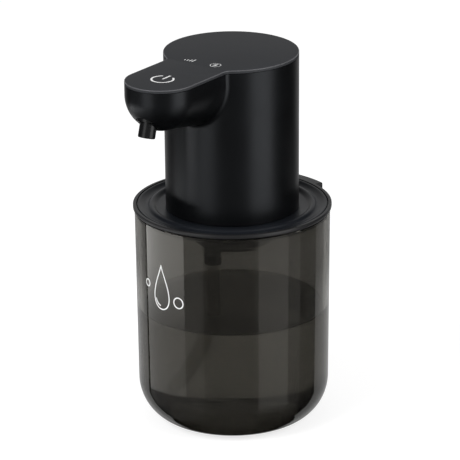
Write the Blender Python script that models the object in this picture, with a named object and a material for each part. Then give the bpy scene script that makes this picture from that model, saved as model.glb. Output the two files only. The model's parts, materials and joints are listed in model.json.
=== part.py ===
# Automatic soap dispenser: a clear bottle with a lift-off pump head.
# Lengths are in metres. The origin is the centre of the base, +Z is up and the spout points to -Y.
import math

import bmesh
import bpy
import numpy as np
from mathutils import Matrix, Vector

# Clearances and cuts
FIT = 0.0003
SLIDE_FIT = 0.0002
OVERRUN = 0.002

# Bottle
BOTTLE_RADIUS = 0.0394
BOTTLE_DRAFT = 0.00095
BOTTLE_HEIGHT = 0.0889
BOTTLE_WALL = 0.0022
BOTTLE_FLOOR = 0.0032
CORNER_WIDTH = 0.0151
CORNER_HEIGHT = 0.0169
LIP_WALL = 0.0011
LIP_DEPTH = 0.0016

# Collar ring and its hook
RIM_HEIGHT = 0.00185
RIM_OVERHANG = 0.0006
RIM_WIDTH = 0.0014
RIM_SEAT_DEPTH = 0.00115
RIM_CHAMFER = 0.00045
COLLAR_WEB = 0.0011
COLLAR_STEP_WALL = 0.0008
COLLAR_SKIRT_WALL = 0.0014
COLLAR_SKIRT_DEPTH = 0.0082
HOOK_REACH = 0.0037
HOOK_WALL = 0.0014
HOOK_PLATE = 0.0015
HOOK_DROP = 0.0080
HOOK_STEP = 0.0001
HOOK_HALF_ANGLE = math.radians(18.9)

# Lid
LID_EDGE_GAP = 0.0004
LID_SINK = 0.0001
LID_VALLEY = 0.0012
LID_PLATE = 0.0021
LID_SKIRT_DEPTH = 0.0073
LID_SKIRT_WALL = 0.0022
RIDGE_PLACE_SHARE = 0.491
RIDGE_HALF_WIDTH = 0.0013
RIDGE_HEIGHT = 0.00125
RIDGE_END_DEGREES = 30
LID_EDGE_BAND = 0.0007
CHANNEL_DIP = 0.0018
CHANNEL_LOW_SHARE = 0.258
GASKET_THICKNESS = 0.0012
GASKET_SEAT = 0.0001
GROOVE_DEPTH = 0.0012
GROOVE_HEIGHT = 0.0018
GROOVE_DROP = 0.0046

# Head shell and spout
HEAD_RADIUS = 0.0270
HEAD_DRAFT = 0.0002
HEAD_HEIGHT = 0.0645
HEAD_WALL = 0.0020
SPOUT_HALF_WIDTH = 0.0143
SPOUT_REACH = 0.0608
SPOUT_SIDE = 0.0062
SPOUT_DROP = 0.0035
HEAD_FILLET = 0.0027
FILLET_DEPTH_SHARES = (0.2, 0.55, 1.0)
FILLET_START_SHARE = 0.88
FILLET_END_SHARE = 1.22
LEAST_WIDTH_SHARE = 0.25

# Top panel
PANEL_THICKNESS = 0.0012
PANEL_SEAM = 0.0002
PANEL_BEVEL = 0.00035
PANEL_LIP_HEIGHT = 0.0014
PANEL_LIP_WALL = 0.0011
PEG_RADIUS = 0.0012
PEG_HEIGHT = 0.0019
PEG_SIDE = 0.0150
PEG_BACK = 0.0060
PEG_BEHIND_TOUCH = 0.0138

# Main board, touch pad and light guides
BOARD_THICKNESS = 0.0012
TOUCH_RADIUS = 0.0050
TOUCH_FROM_TIP = 0.0140
GUIDE_FROM_AXIS = 0.0200
GUIDE_SIDE = 0.0062
LEVEL_GUIDE_WIDTH = 0.0064
LEVEL_GUIDE_DEPTH = 0.0040
CHARGE_GUIDE_RADIUS = 0.0023

# Nozzle and its valve
NOZZLE_RADIUS = 0.0034
NOZZLE_LENGTH = 0.0058
NOZZLE_ROUND = 0.0004
NOZZLE_TILT = math.radians(16)
NOZZLE_FROM_TIP = 0.0054
NOZZLE_FLANGE_RADIUS = 0.0047
NOZZLE_FLANGE = 0.0012
NOZZLE_BARREL_RADIUS = 0.0036
NOZZLE_BARREL = 0.0046
NOZZLE_CAP = 0.0008
NOZZLE_BORE_RADIUS = 0.0013
VALVE_RADIUS = 0.0021
VALVE_LENGTH = 0.0030
VALVE_RECESS = 0.0004
VALVE_BORE_RADIUS = 0.0006

# Hand sensor
WINDOW_LENGTH = 0.0100
WINDOW_WIDTH = 0.0060
WINDOW_THICKNESS = 0.0012
WINDOW_RECESS = 0.00015
WINDOW_FROM_AXIS = 0.0345
EMITTER_RADIUS = 0.0015
EMITTER_HEIGHT = 0.0032
EMITTER_EDGE = 0.0005
EMITTER_SPACING = 0.0052
SENSOR_BOARD_LENGTH = 0.0120
SENSOR_BOARD_WIDTH = 0.0070
SENSOR_BOARD_THICKNESS = 0.0010

# Pump
PUMP_DEPTH = 0.01455
PUMP_ROUND = 0.0030
PUMP_FLANGE = 0.0016
PUMP_FLANGE_WIDTH = 0.0022
PUMP_FLANGE_GAP = 0.0005
PUMP_HOLE_GAP = 0.0004
POCKET_WALL = 0.00578
GEAR_TEETH = 12
GEAR_PRESSURE_ANGLE = math.radians(25)
GEAR_ADDENDUM_SHARE = 0.80
GEAR_DEDENDUM_SHARE = 1.20
GEAR_BACKLASH = 0.00024
GEAR_THICKNESS = 0.0074
GEAR_TIP_GAP = 0.00025
SHAFT_RADIUS = 0.0015
SHAFT_LENGTH = 0.0330
PIN_RADIUS = 0.0012
PIN_SEAT_DEPTH = 0.0020
INLET_FROM_EDGE = 0.0032
INLET_RADIUS = 0.00345
INLET_LENGTH = 0.0060
DUCT_WIDTH = 0.0026
DUCT_DEPTH = 0.0030
OUTLET_FROM_EDGE = 0.00433
OUTLET_TURN = math.radians(104.04)
COVER_THICKNESS = 0.00225
SEAL_RADIUS = 0.0032
SEAL_HEIGHT = 0.0015
NIPPLE_RADIUS = 0.0015
NIPPLE_BORE_RADIUS = 0.0008
NIPPLE_HEIGHT = 0.0042

# Hoses
HOSE_RADIUS = 0.0024
HOSE_BORE_RADIUS = 0.0017
HOSE_BEND_RADIUS = 0.0100
DIP_TUBE_RADIUS = 0.00265
DIP_TUBE_BORE_RADIUS = 0.0018

# The dip tube's turns: sideways and forward in its own radius, and its height from the pump's underside
DIP_TUBE_SHARES = (
    (0.0, 0.0, 0.80),
    (0.0, 0.0, 0.62),
    (-0.9, -0.6, 0.46),
    (-2.3, -1.7, 0.32),
    (-4.2, -3.1, 0.20),
)

# Screws
SCREW_HEAD_RADIUS = 0.0019
SCREW_HEAD_HEIGHT = 0.0011
SCREW_RADIUS = 0.0008
SCREW_LENGTH = 0.0060
SCREW_SLOT = 0.0005
PUMP_SCREW_FROM_EDGE = 0.0025
PUMP_SCREW_DEGREES = 45
CHASSIS_SCREW_LENGTH = 0.0065
CHASSIS_SCREW_DEGREES = 75

# Chassis, motor and battery
CHASSIS_THICKNESS = 0.0018
CHASSIS_GAP = 0.0006
POST_RADIUS = 0.0021
POST_GAP = 0.0012
SLEEVE_WALL = 0.0009
SLEEVE_FLOOR = 0.0001
SLEEVE_OVERLAP = 0.0002
MOTOR_GAP = 0.0039
MOTOR_LENGTH = 0.0240
MOTOR_BOSS_RADIUS = 0.0030
MOTOR_BOSS = 0.0012
MOTOR_EDGE = 0.0008
END_CAP_THICKNESS = 0.0030
TERMINAL_WIDTH = 0.0022
TERMINAL_THICKNESS = 0.0006
TERMINAL_HEIGHT = 0.0030
TERMINAL_FROM_EDGE = 0.0040
MOTOR_SLEEVE = 0.0075
BATTERY_GAP = 0.0024
BATTERY_HEADROOM = 0.00335
BATTERY_NUB_RADIUS = 0.0028
BATTERY_NUB = 0.0010
BATTERY_EDGE = 0.0006
BATTERY_SLEEVE = 0.0160

# Charging port and its cover
PORT_HEIGHT = 0.0130
USB_WIDTH = 0.0090
USB_HEIGHT = 0.0033
USB_DEPTH = 0.0073
USB_ROUND = 0.0012
USB_WALL = 0.0004
USB_TONGUE = 0.0007
USB_TONGUE_WIDTH = 0.0060
USB_SETBACK = 0.0010
PORT_MARGIN = 0.0004
USB_BOARD_WIDTH = 0.0100
USB_BOARD_DEPTH = 0.0085
USB_BOARD_THICKNESS = 0.0010
PEDESTAL_WIDTH = 0.0080
PEDESTAL_DEPTH = 0.0060
FLAP_WIDTH = 0.0140
FLAP_HEIGHT = 0.0088
FLAP_THICKNESS = 0.00085
FLAP_GAP = 0.00025
FLAP_HINGE_RADIUS = 0.00055
FLAP_HINGE_LAP = 0.0004
FLAP_HINGE_WIDTH = 0.0060
FLAP_PLUG = 0.0008
FLAP_RISE = 0.0036

# Facets
ROUND_STEPS = 32
RING_STEPS = 28
SLEEVE_STEPS = 20
SMALL_STEPS = 16
TINY_STEPS = 10
LEAST_STEPS = 8
CORNER_STEPS = 6
POCKET_STEPS = 12
RIDGE_STEPS = 5
CHANNEL_STEPS = 3
HOOK_STEPS = 8
FLAP_STEPS = 6
GASKET_STEPS = 6
TUBE_RUN_STEPS = 3
HOSE_RUN_STEPS = 2
SEARCH_STEPS = 40
SHARP_ANGLE = math.radians(35)
OUTER_COUNTS = (9, 4, 12)
INNER_COUNTS = (7, 2, 11)
WINDOW_COUNTS = (7, 3, 6)

# Widths that follow from the head's radius, from its wall inwards
CAVITY_RADIUS = HEAD_RADIUS - HEAD_DRAFT - HEAD_WALL
CHASSIS_SCREW_CIRCLE = CAVITY_RADIUS - POST_GAP - POST_RADIUS
PUMP_FLANGE_RADIUS = CHASSIS_SCREW_CIRCLE - POST_RADIUS - PUMP_FLANGE_GAP
PUMP_RADIUS = PUMP_FLANGE_RADIUS - PUMP_FLANGE_WIDTH
PUMP_SCREW_CIRCLE = PUMP_RADIUS - PUMP_SCREW_FROM_EDGE
INLET_FROM_AXIS = PUMP_RADIUS - INLET_FROM_EDGE
OUTLET_X = (PUMP_RADIUS - OUTLET_FROM_EDGE) * math.cos(OUTLET_TURN)
OUTLET_Y = (PUMP_RADIUS - OUTLET_FROM_EDGE) * math.sin(OUTLET_TURN)
GEAR_OFFSET = (PUMP_RADIUS - POCKET_WALL - GEAR_TIP_GAP) / (2 + 2 * GEAR_ADDENDUM_SHARE / GEAR_TEETH)
GEAR_MODULE = 2 * GEAR_OFFSET / GEAR_TEETH
GEAR_TIP_RADIUS = GEAR_OFFSET + GEAR_ADDENDUM_SHARE * GEAR_MODULE
GEAR_ROOT_RADIUS = GEAR_OFFSET - GEAR_DEDENDUM_SHARE * GEAR_MODULE
POCKET_RADIUS = GEAR_TIP_RADIUS + GEAR_TIP_GAP
PORT_BACK = HEAD_RADIUS - HEAD_WALL - USB_SETBACK - USB_WALL
MOTOR_SLEEVE_RADIUS = PORT_BACK - USB_BOARD_DEPTH - MOTOR_GAP
MOTOR_RADIUS = MOTOR_SLEEVE_RADIUS - SLEEVE_WALL - FIT
BATTERY_ROOM = CAVITY_RADIUS - BATTERY_GAP - (MOTOR_SLEEVE_RADIUS - GEAR_OFFSET) + SLEEVE_OVERLAP
BATTERY_RADIUS = BATTERY_ROOM / 2 - SLEEVE_WALL - FIT
BATTERY_SIDE = CAVITY_RADIUS - BATTERY_GAP - BATTERY_ROOM / 2

# Heights that follow from the sizes above
RIM_TOP = BOTTLE_HEIGHT + FIT + RIM_HEIGHT
SEAT_TOP = RIM_TOP - RIM_SEAT_DEPTH
BOTTLE_BORE = BOTTLE_RADIUS - BOTTLE_WALL
LIP_BORE = BOTTLE_RADIUS - LIP_WALL
WEB_BOTTOM = BOTTLE_HEIGHT - LIP_DEPTH + FIT
WEB_TOP = WEB_BOTTOM + COLLAR_WEB
WEB_RADIUS = LIP_BORE - FIT
STEP_RADIUS = WEB_RADIUS - COLLAR_STEP_WALL
COLLAR_SKIRT_RADIUS = BOTTLE_BORE - FIT
COLLAR_BORE = COLLAR_SKIRT_RADIUS - COLLAR_SKIRT_WALL
RIM_RADIUS = BOTTLE_RADIUS + RIM_OVERHANG
RIM_BORE = RIM_RADIUS - RIM_WIDTH
LID_RADIUS = RIM_BORE - LID_EDGE_GAP
RIDGE_RADIUS = HEAD_RADIUS + RIDGE_PLACE_SHARE * (LID_RADIUS - HEAD_RADIUS)
LID_TOP = RIM_TOP - LID_SINK
VALLEY_TOP = LID_TOP - LID_VALLEY
LID_UNDER = VALLEY_TOP - LID_PLATE
LID_PLUG_RADIUS = COLLAR_BORE - FIT
PUMP_HOLE = PUMP_RADIUS + PUMP_HOLE_GAP
HEAD_BOTTOM = VALLEY_TOP + FIT
HEAD_TOP = HEAD_BOTTOM + HEAD_HEIGHT
SPOUT_CENTRE = SPOUT_REACH - SPOUT_HALF_WIDTH
SPOUT_TIP_DEPTH = SPOUT_SIDE + SPOUT_HALF_WIDTH
SHELL_TOP_DEPTH = PANEL_THICKNESS + PANEL_SEAM
PANEL_UNDER = HEAD_TOP - PANEL_THICKNESS
BOARD_TOP = PANEL_UNDER - PEG_HEIGHT - FIT
FLANGE_BOTTOM = VALLEY_TOP + FIT
FLANGE_TOP = FLANGE_BOTTOM + PUMP_FLANGE
PUMP_BOTTOM = VALLEY_TOP - PUMP_DEPTH
COVER_BOTTOM = FLANGE_TOP + FIT
COVER_TOP = COVER_BOTTOM + COVER_THICKNESS
CHASSIS_BOTTOM = COVER_TOP + FIT
CHASSIS_TOP = CHASSIS_BOTTOM + CHASSIS_THICKNESS
MOTOR_BOTTOM = CHASSIS_TOP + FIT
MOTOR_TOP = MOTOR_BOTTOM + MOTOR_LENGTH
BATTERY_BOTTOM = CHASSIS_TOP + FIT
BATTERY_TOP = BOARD_TOP - BOARD_THICKNESS - BATTERY_HEADROOM - BATTERY_NUB
POCKET_BOTTOM = FLANGE_TOP - GEAR_THICKNESS - FIT
PORT_CENTRE = HEAD_BOTTOM + PORT_HEIGHT
PORT_OPENING_WIDTH = USB_WIDTH + 2 * PORT_MARGIN
PORT_OPENING_HEIGHT = USB_HEIGHT + 2 * PORT_MARGIN


def clear_scene():
    for item in list(bpy.data.objects):
        bpy.data.objects.remove(item, do_unlink=True)


def plastic(name, colour, roughness, metallic=0.0, alpha=1.0):
    """A Principled material of one colour."""
    material = bpy.data.materials.new(name)
    material.use_nodes = True
    shader = material.node_tree.nodes["Principled BSDF"]
    shader.inputs["Base Color"].default_value = (*colour, 1.0)
    shader.inputs["Roughness"].default_value = roughness
    shader.inputs["Metallic"].default_value = metallic
    shader.inputs["Alpha"].default_value = alpha
    material.diffuse_color = (*colour, alpha)
    return material


def make_empty(name, location, parent=None):
    empty = bpy.data.objects.new(name, None)
    bpy.context.collection.objects.link(empty)
    put(empty, location, parent)
    return empty


def put(item, location, parent=None):
    """Places an object at a world position, under a parent that is moved but not turned."""
    item["place"] = tuple(location)
    item.parent = parent
    start = Vector(parent["place"]) if parent else Vector((0, 0, 0))
    item.location = Vector(location) - start


def finish(name, bm, material, location=(0, 0, 0), parent=None):
    """Turns a bmesh into a named object with its faces pointing out."""
    bmesh.ops.recalc_face_normals(bm, faces=bm.faces)
    mesh = bpy.data.meshes.new(name)
    bm.to_mesh(mesh)
    bm.free()
    mesh.shade_smooth()
    mesh.set_sharp_from_angle(angle=SHARP_ANGLE)
    item = bpy.data.objects.new(name, mesh)
    bpy.context.collection.objects.link(item)
    if material:
        mesh.materials.append(material)
    put(item, location, parent)
    return item


def cut(target, cutter, operation="DIFFERENCE"):
    """Adds a Boolean to the target and hides the cutter."""
    modifier = target.modifiers.new(cutter.name, "BOOLEAN")
    modifier.operation = operation
    modifier.solver = "EXACT"
    modifier.object = cutter
    cutter.hide_render = True
    cutter.display_type = "WIRE"


def join(target, piece):
    cut(target, piece, "UNION")


def turned(points, steps, start=0.0, end=2 * math.pi, closed=True):
    """Turns an outline of (radius, height) points about Z.

    A closed outline makes a ring, and an open one a solid with a flat face below and above.
    A part turn gets a flat face at each end.
    """
    bm = bmesh.new()
    whole = end - start >= 2 * math.pi
    columns = []
    for step in range(steps if whole else steps + 1):
        angle = start + (end - start) * step / steps
        columns.append([bm.verts.new((r * math.cos(angle), r * math.sin(angle), z)) for r, z in points])
    pairs = list(zip(columns, columns[1:]))
    if whole:
        pairs.append((columns[-1], columns[0]))
    else:
        bm.faces.new(columns[0])
        bm.faces.new(columns[-1])
    if not closed:
        bm.faces.new([column[0] for column in columns])
        bm.faces.new([column[-1] for column in columns])
    last = len(points) if closed else len(points) - 1
    for left, right in pairs:
        for index in range(last):
            after = (index + 1) % len(points)
            bm.faces.new((left[index], left[after], right[after], right[index]))
    return bm


def arc(centre, radius, first, last, count):
    """Points along an arc in (radius, height), angles in degrees."""
    points = []
    for step in range(count + 1):
        angle = math.radians(first + (last - first) * step / count)
        points.append((centre[0] + radius * math.cos(angle), centre[1] + radius * math.sin(angle)))
    return points


def curve_through(start, control, end, count):
    """Points of a quadratic curve from start to end."""
    points = []
    for step in range(count + 1):
        t = step / count
        weights = ((1 - t) ** 2, 2 * t * (1 - t), t ** 2)
        points.append(tuple(sum(w * p[axis] for w, p in zip(weights, (start, control, end)))
                            for axis in (0, 1)))
    return points


def drum(radius, bottom, top, steps, edge=0.0):
    """A solid cylinder about Z, with its two edges cut off by edge."""
    points = [(radius - edge, bottom)]
    if edge:
        points += [(radius, bottom + edge), (radius, top - edge)]
    points.append((radius - edge, top))
    phase = math.pi / steps
    return turned(points, steps, phase, phase + 2 * math.pi, closed=False)


def tube(outer, inner, bottom, top, steps):
    return turned([(inner, bottom), (outer, bottom), (outer, top), (inner, top)], steps)


def block(low, high):
    """A box between two corners."""
    bm = bmesh.new()
    bmesh.ops.create_cube(bm, size=1.0)
    middle = (Vector(low) + Vector(high)) / 2
    span = Vector(high) - Vector(low)
    bmesh.ops.scale(bm, vec=span, verts=bm.verts)
    bmesh.ops.translate(bm, vec=middle, verts=bm.verts)
    return bm


def stack(rings):
    """A solid whose side runs through rings of equal count, from bottom to top."""
    bm = bmesh.new()
    rows = [[bm.verts.new(spot) for spot in ring] for ring in rings]
    count = len(rows[0])
    for lower, upper in zip(rows, rows[1:]):
        for index in range(count):
            after = (index + 1) % count
            bm.faces.new((lower[index], lower[after], upper[after], upper[index]))
    bm.faces.new(rows[0])
    bm.faces.new(rows[-1])
    return bm


def swept(path, outer, inner, steps):
    """A hose with an open bore along a path of world points."""
    spots = [Vector(spot) for spot in path]
    side = Vector((1, 0, 0))
    bm = bmesh.new()
    rows = []
    for index, spot in enumerate(spots):
        before = spots[max(index - 1, 0)]
        after = spots[min(index + 1, len(spots) - 1)]
        ahead = (after - before).normalized()
        side = (side - ahead * side.dot(ahead)).normalized()
        other = ahead.cross(side)
        for radius in (outer, inner):
            row = []
            for step in range(steps):
                angle = 2 * math.pi * step / steps
                row.append(bm.verts.new(spot + (side * math.cos(angle) + other * math.sin(angle)) * radius))
            rows.append(row)
    chains = rows[0::2] + rows[1::2][::-1]
    for lower, upper in zip(chains, chains[1:] + chains[:1]):
        for index in range(steps):
            after = (index + 1) % steps
            bm.faces.new((lower[index], lower[after], upper[after], upper[index]))
    return bm


def smooth_path(corners, count):
    """Points on one smooth curve through the corners, straight at its first and last runs."""
    spots = [Vector(corner) for corner in corners]
    path = []
    for index in range(len(spots) - 1):
        before = spots[max(index - 1, 0)]
        start = spots[index]
        end = spots[index + 1]
        after = spots[min(index + 2, len(spots) - 1)]
        reach = (end - start).length
        lead = (end - before).normalized() * reach
        tail = (after - start).normalized() * reach
        for step in range(count):
            t = step / count
            path.append(start * (2 * t ** 3 - 3 * t ** 2 + 1) + lead * (t ** 3 - 2 * t ** 2 + t)
                        + end * (3 * t ** 2 - 2 * t ** 3) + tail * (t ** 3 - t ** 2))
    path.append(spots[-1])
    return path


def round_union(first, second, fillet):
    """Signed distance to two joined bodies, with a concave round where they meet."""
    near = np.hypot(np.maximum(fillet - first, 0), np.maximum(fillet - second, 0))
    return np.maximum(fillet, np.minimum(first, second)) - near


def head_distance(across, forward, depth, inset):
    """Signed distance to the head without its ends: a round body joined by a hull-shaped spout."""
    body = np.hypot(across, forward) - (HEAD_RADIUS - HEAD_DRAFT * depth / HEAD_HEIGHT - inset)
    half = SPOUT_HALF_WIDTH - inset
    slope = SPOUT_DROP / (SPOUT_CENTRE - HEAD_RADIUS)
    extra = np.maximum(SPOUT_CENTRE - forward, 0) * slope
    below = max(depth - SPOUT_SIDE, 0.0)
    beyond = np.maximum(forward - SPOUT_CENTRE, 0)
    spout = half * (np.sqrt((across / half) ** 2 + (beyond / half) ** 2 + (below / (half + extra)) ** 2) - 1)
    spout = np.where(forward < 0, np.maximum(spout, half), spout)
    return round_union(body, spout, HEAD_FILLET + inset)


def head_ring(depth, inset, angles):
    """The outline of the head at a depth below its top, found along rays from the axis."""
    near = np.zeros(len(angles))
    far = np.full(len(angles), 2 * SPOUT_REACH)
    across = np.sin(angles)
    forward = np.cos(angles)
    for _ in range(SEARCH_STEPS):
        middle = (near + far) / 2
        inside = head_distance(across * middle, forward * middle, depth, inset) < 0
        near = np.where(inside, middle, near)
        far = np.where(inside, far, middle)
    height = HEAD_HEIGHT - depth
    return [(r * a, -r * f, height) for r, a, f in zip(near, across, forward)]


def head_angles(depth, inset, spout_count, fillet_count, body_count):
    """Ray angles that crowd where the spout and its fillet are."""
    half = SPOUT_HALF_WIDTH - inset + HEAD_FILLET / 2
    deep = SPOUT_TIP_DEPTH + SPOUT_DROP + HEAD_FILLET / 2 - SPOUT_SIDE - inset
    share = min(max(depth - SPOUT_SIDE, 0.0) / deep, 1.0)
    width = half * max(math.sqrt(1 - share ** 2), LEAST_WIDTH_SHARE)
    corner = math.asin(width / (HEAD_RADIUS - inset))
    fillet_start = FILLET_START_SHARE * corner
    fillet_end = FILLET_END_SHARE * corner
    first = np.linspace(0, fillet_start, spout_count + 1)[:-1]
    second = np.linspace(fillet_start, fillet_end, fillet_count + 1)[:-1]
    third = np.linspace(fillet_end, math.pi, body_count + 1)
    half_turn = np.concatenate((first, second, third))
    return np.concatenate((half_turn, 2 * math.pi - half_turn[-2:0:-1]))


def head_depths(top, bottom, inset, arc_count, drop_count):
    """Depths that follow the round underside of the spout and its fillet."""
    round_half = SPOUT_HALF_WIDTH - inset
    depths = [top, SPOUT_SIDE]
    for step in range(1, arc_count + 1):
        share = math.sin(math.pi / 2 * step / arc_count)
        depths.append(SPOUT_SIDE + round_half * share)
    tip = depths[-1]
    for step in range(1, drop_count + 1):
        depths.append(tip + SPOUT_DROP * step / drop_count)
    low = depths[-1]
    fillet = HEAD_FILLET + inset
    for share in FILLET_DEPTH_SHARES:
        depths.append(low + fillet * share)
    depths.append(bottom)
    return depths


def head_solid(top, bottom, inset, arc_count=6, drop_count=3, counts=OUTER_COUNTS):
    """A solid of the head's form between two depths, set in from its surface by inset."""
    rings = []
    for depth in reversed(head_depths(top, bottom, inset, arc_count, drop_count)):
        angles = head_angles(depth, inset, *counts)
        rings.append(head_ring(depth, inset, angles))
    return stack(rings)


def panel_solid(levels, counts=OUTER_COUNTS):
    """A flat solid of the head's top outline from (depth, inset) pairs, lowest first."""
    rings = []
    for depth, inset in levels:
        ring = head_ring(0.0, inset, head_angles(0.0, inset, *counts))
        rings.append([(x, y, HEAD_HEIGHT - depth) for x, y, _ in ring])
    return stack(rings)


def involute_gear(thickness):
    """A spur gear about Z with a tooth on +X, standing on z = 0."""
    base = GEAR_OFFSET * math.cos(GEAR_PRESSURE_ANGLE)
    half_tooth = math.pi / GEAR_TEETH / 2 - GEAR_BACKLASH / GEAR_OFFSET / 2

    def flank(radius):
        roll = math.sqrt(max((radius / base) ** 2 - 1, 0.0))
        return roll - math.atan(roll)

    pitch_turn = flank(GEAR_OFFSET)
    start = max(base, GEAR_ROOT_RADIUS)
    flank_steps = 2
    side = [(GEAR_ROOT_RADIUS, half_tooth + pitch_turn)]
    for step in range(flank_steps + 1):
        radius = start + (GEAR_TIP_RADIUS - start) * step / flank_steps
        side.append((radius, half_tooth + pitch_turn - flank(radius)))
    outline = []
    for tooth in range(GEAR_TEETH):
        middle = 2 * math.pi * tooth / GEAR_TEETH
        for radius, turn in side:
            outline.append((radius * math.cos(middle - turn), radius * math.sin(middle - turn)))
        for radius, turn in reversed(side):
            outline.append((radius * math.cos(middle + turn), radius * math.sin(middle + turn)))
    return stack([[(x, y, z) for x, y in outline] for z in (0.0, thickness)])


def tilted(bm, angle, origin):
    """Turns a mesh about X and moves it."""
    matrix = Matrix.Translation(origin) @ Matrix.Rotation(angle, 4, "X")
    bmesh.ops.transform(bm, matrix=matrix, verts=bm.verts)
    return bm


def moved(bm, offset):
    bmesh.ops.translate(bm, vec=offset, verts=bm.verts)
    return bm


def make_bottle(root):
    """A clear cup with a thick floor, a round base corner and a rebated lip."""
    low_radius = BOTTLE_RADIUS - BOTTLE_DRAFT
    flat_radius = low_radius - CORNER_WIDTH
    points = [(flat_radius, 0)]
    for step in range(1, CORNER_STEPS + 1):
        angle = math.pi / 2 * step / CORNER_STEPS
        points.append((flat_radius + CORNER_WIDTH * math.sin(angle), CORNER_HEIGHT * (1 - math.cos(angle))))
    points += [(BOTTLE_RADIUS, BOTTLE_HEIGHT), (LIP_BORE, BOTTLE_HEIGHT)]
    points += [(LIP_BORE, BOTTLE_HEIGHT - LIP_DEPTH), (BOTTLE_BORE, BOTTLE_HEIGHT - LIP_DEPTH)]
    inner_width = CORNER_WIDTH - BOTTLE_WALL / 2
    inner_height = CORNER_HEIGHT - BOTTLE_FLOOR
    inner_flat = low_radius - BOTTLE_WALL - inner_width
    for step in reversed(range(CORNER_STEPS + 1)):
        angle = math.pi / 2 * step / CORNER_STEPS
        points.append((inner_flat + inner_width * math.sin(angle),
                       BOTTLE_FLOOR + inner_height * (1 - math.cos(angle))))
    smoke = plastic("smoky_clear", (0.055, 0.052, 0.044), 0.08, alpha=0.55)
    finish("bottle", turned(points, ROUND_STEPS, closed=False), smoke, parent=root)


def make_collar(root, black):
    """The ring that sits on the bottle's lip, with a hook for a wall plate behind."""
    points = [
        (RIM_BORE, RIM_TOP),
        (RIM_RADIUS, RIM_TOP),
        (RIM_RADIUS, BOTTLE_HEIGHT + FIT + RIM_CHAMFER),
        (RIM_RADIUS - RIM_CHAMFER, BOTTLE_HEIGHT + FIT),
        (WEB_RADIUS, BOTTLE_HEIGHT + FIT),
        (WEB_RADIUS, WEB_BOTTOM),
        (COLLAR_SKIRT_RADIUS, WEB_BOTTOM),
        (COLLAR_SKIRT_RADIUS, BOTTLE_HEIGHT + FIT - COLLAR_SKIRT_DEPTH),
        (COLLAR_BORE, BOTTLE_HEIGHT + FIT - COLLAR_SKIRT_DEPTH),
        (COLLAR_BORE, WEB_TOP),
        (STEP_RADIUS, WEB_TOP),
        (STEP_RADIUS, SEAT_TOP),
        (RIM_BORE, SEAT_TOP),
    ]
    ring = finish("collar_ring", turned(points, ROUND_STEPS), black, parent=root)
    root_radius = RIM_RADIUS - RIM_WIDTH / 2
    reach = RIM_RADIUS + HOOK_REACH
    top = RIM_TOP - HOOK_STEP
    hook_points = [
        (root_radius, RIM_TOP - HOOK_PLATE),
        (reach - HOOK_WALL, RIM_TOP - HOOK_PLATE),
        (reach - HOOK_WALL, RIM_TOP - HOOK_DROP),
        (reach, RIM_TOP - HOOK_DROP),
        (reach, top - RIM_CHAMFER),
        (reach - RIM_CHAMFER, top),
        (root_radius, top),
    ]
    first = math.pi / 2 - HOOK_HALF_ANGLE
    last = math.pi / 2 + HOOK_HALF_ANGLE
    hook = finish("hook_form", turned(hook_points, HOOK_STEPS, first, last), None, parent=root)
    join(ring, hook)


def make_lid(head, black, rubber):
    """The lid with its ridge, channel, plug skirt and seal."""
    groove_top = WEB_TOP - GROOVE_DROP
    groove_floor = LID_PLUG_RADIUS - GROOVE_DEPTH
    skirt_bottom = WEB_TOP + FIT - LID_SKIRT_DEPTH
    ridge_foot = RIDGE_RADIUS + RIDGE_HALF_WIDTH * math.cos(math.radians(RIDGE_END_DEGREES))
    channel_start = (ridge_foot, VALLEY_TOP + RIDGE_HEIGHT * math.sin(math.radians(RIDGE_END_DEGREES)))
    channel_end = (LID_RADIUS - LID_EDGE_BAND, LID_TOP)
    channel_span = channel_end[0] - ridge_foot
    channel_low = (ridge_foot + CHANNEL_LOW_SHARE * channel_span, LID_TOP - CHANNEL_DIP)
    points = [(PUMP_HOLE, LID_UNDER), (PUMP_HOLE, VALLEY_TOP)]
    for x, y in arc((0, 0), 1.0, 180, RIDGE_END_DEGREES, RIDGE_STEPS):
        points.append((RIDGE_RADIUS + RIDGE_HALF_WIDTH * x, VALLEY_TOP + RIDGE_HEIGHT * y))
    points += curve_through(channel_start, channel_low, channel_end, CHANNEL_STEPS)[1:]
    points += [
        (LID_RADIUS, LID_TOP),
        (LID_RADIUS, SEAT_TOP + FIT),
        (STEP_RADIUS - FIT, SEAT_TOP + FIT),
        (STEP_RADIUS - FIT, WEB_TOP + FIT),
        (LID_PLUG_RADIUS, WEB_TOP + FIT),
        (LID_PLUG_RADIUS, groove_top),
        (groove_floor, groove_top),
        (groove_floor, groove_top - GROOVE_HEIGHT),
        (LID_PLUG_RADIUS, groove_top - GROOVE_HEIGHT),
        (LID_PLUG_RADIUS, skirt_bottom),
        (LID_PLUG_RADIUS - LID_SKIRT_WALL, skirt_bottom),
        (LID_PLUG_RADIUS - LID_SKIRT_WALL, LID_UNDER),
    ]
    lid = finish("lid_disc", turned(points, ROUND_STEPS), black, parent=head)
    for x, y in screw_places(CHASSIS_SCREW_CIRCLE, CHASSIS_SCREW_DEGREES):
        hole = drum(SCREW_RADIUS + FIT, LID_UNDER - OVERRUN, VALLEY_TOP + OVERRUN, TINY_STEPS)
        cut(lid, finish("lid_screw_hole", hole, None, (x, y, 0), head))
    seal_radius = groove_floor + GASKET_SEAT + GASKET_THICKNESS / 2
    last = 360 - 360 / GASKET_STEPS
    ring = arc((seal_radius, groove_top - GROOVE_HEIGHT / 2), GASKET_THICKNESS / 2, 0, last, GASKET_STEPS - 1)
    finish("lid_gasket", turned(ring, ROUND_STEPS), rubber, parent=head)


def screw_places(circle, first_degrees, count=3):
    places = []
    for index in range(count):
        angle = math.radians(first_degrees) + 2 * math.pi * index / count
        places.append((circle * math.cos(angle), circle * math.sin(angle)))
    return places


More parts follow.
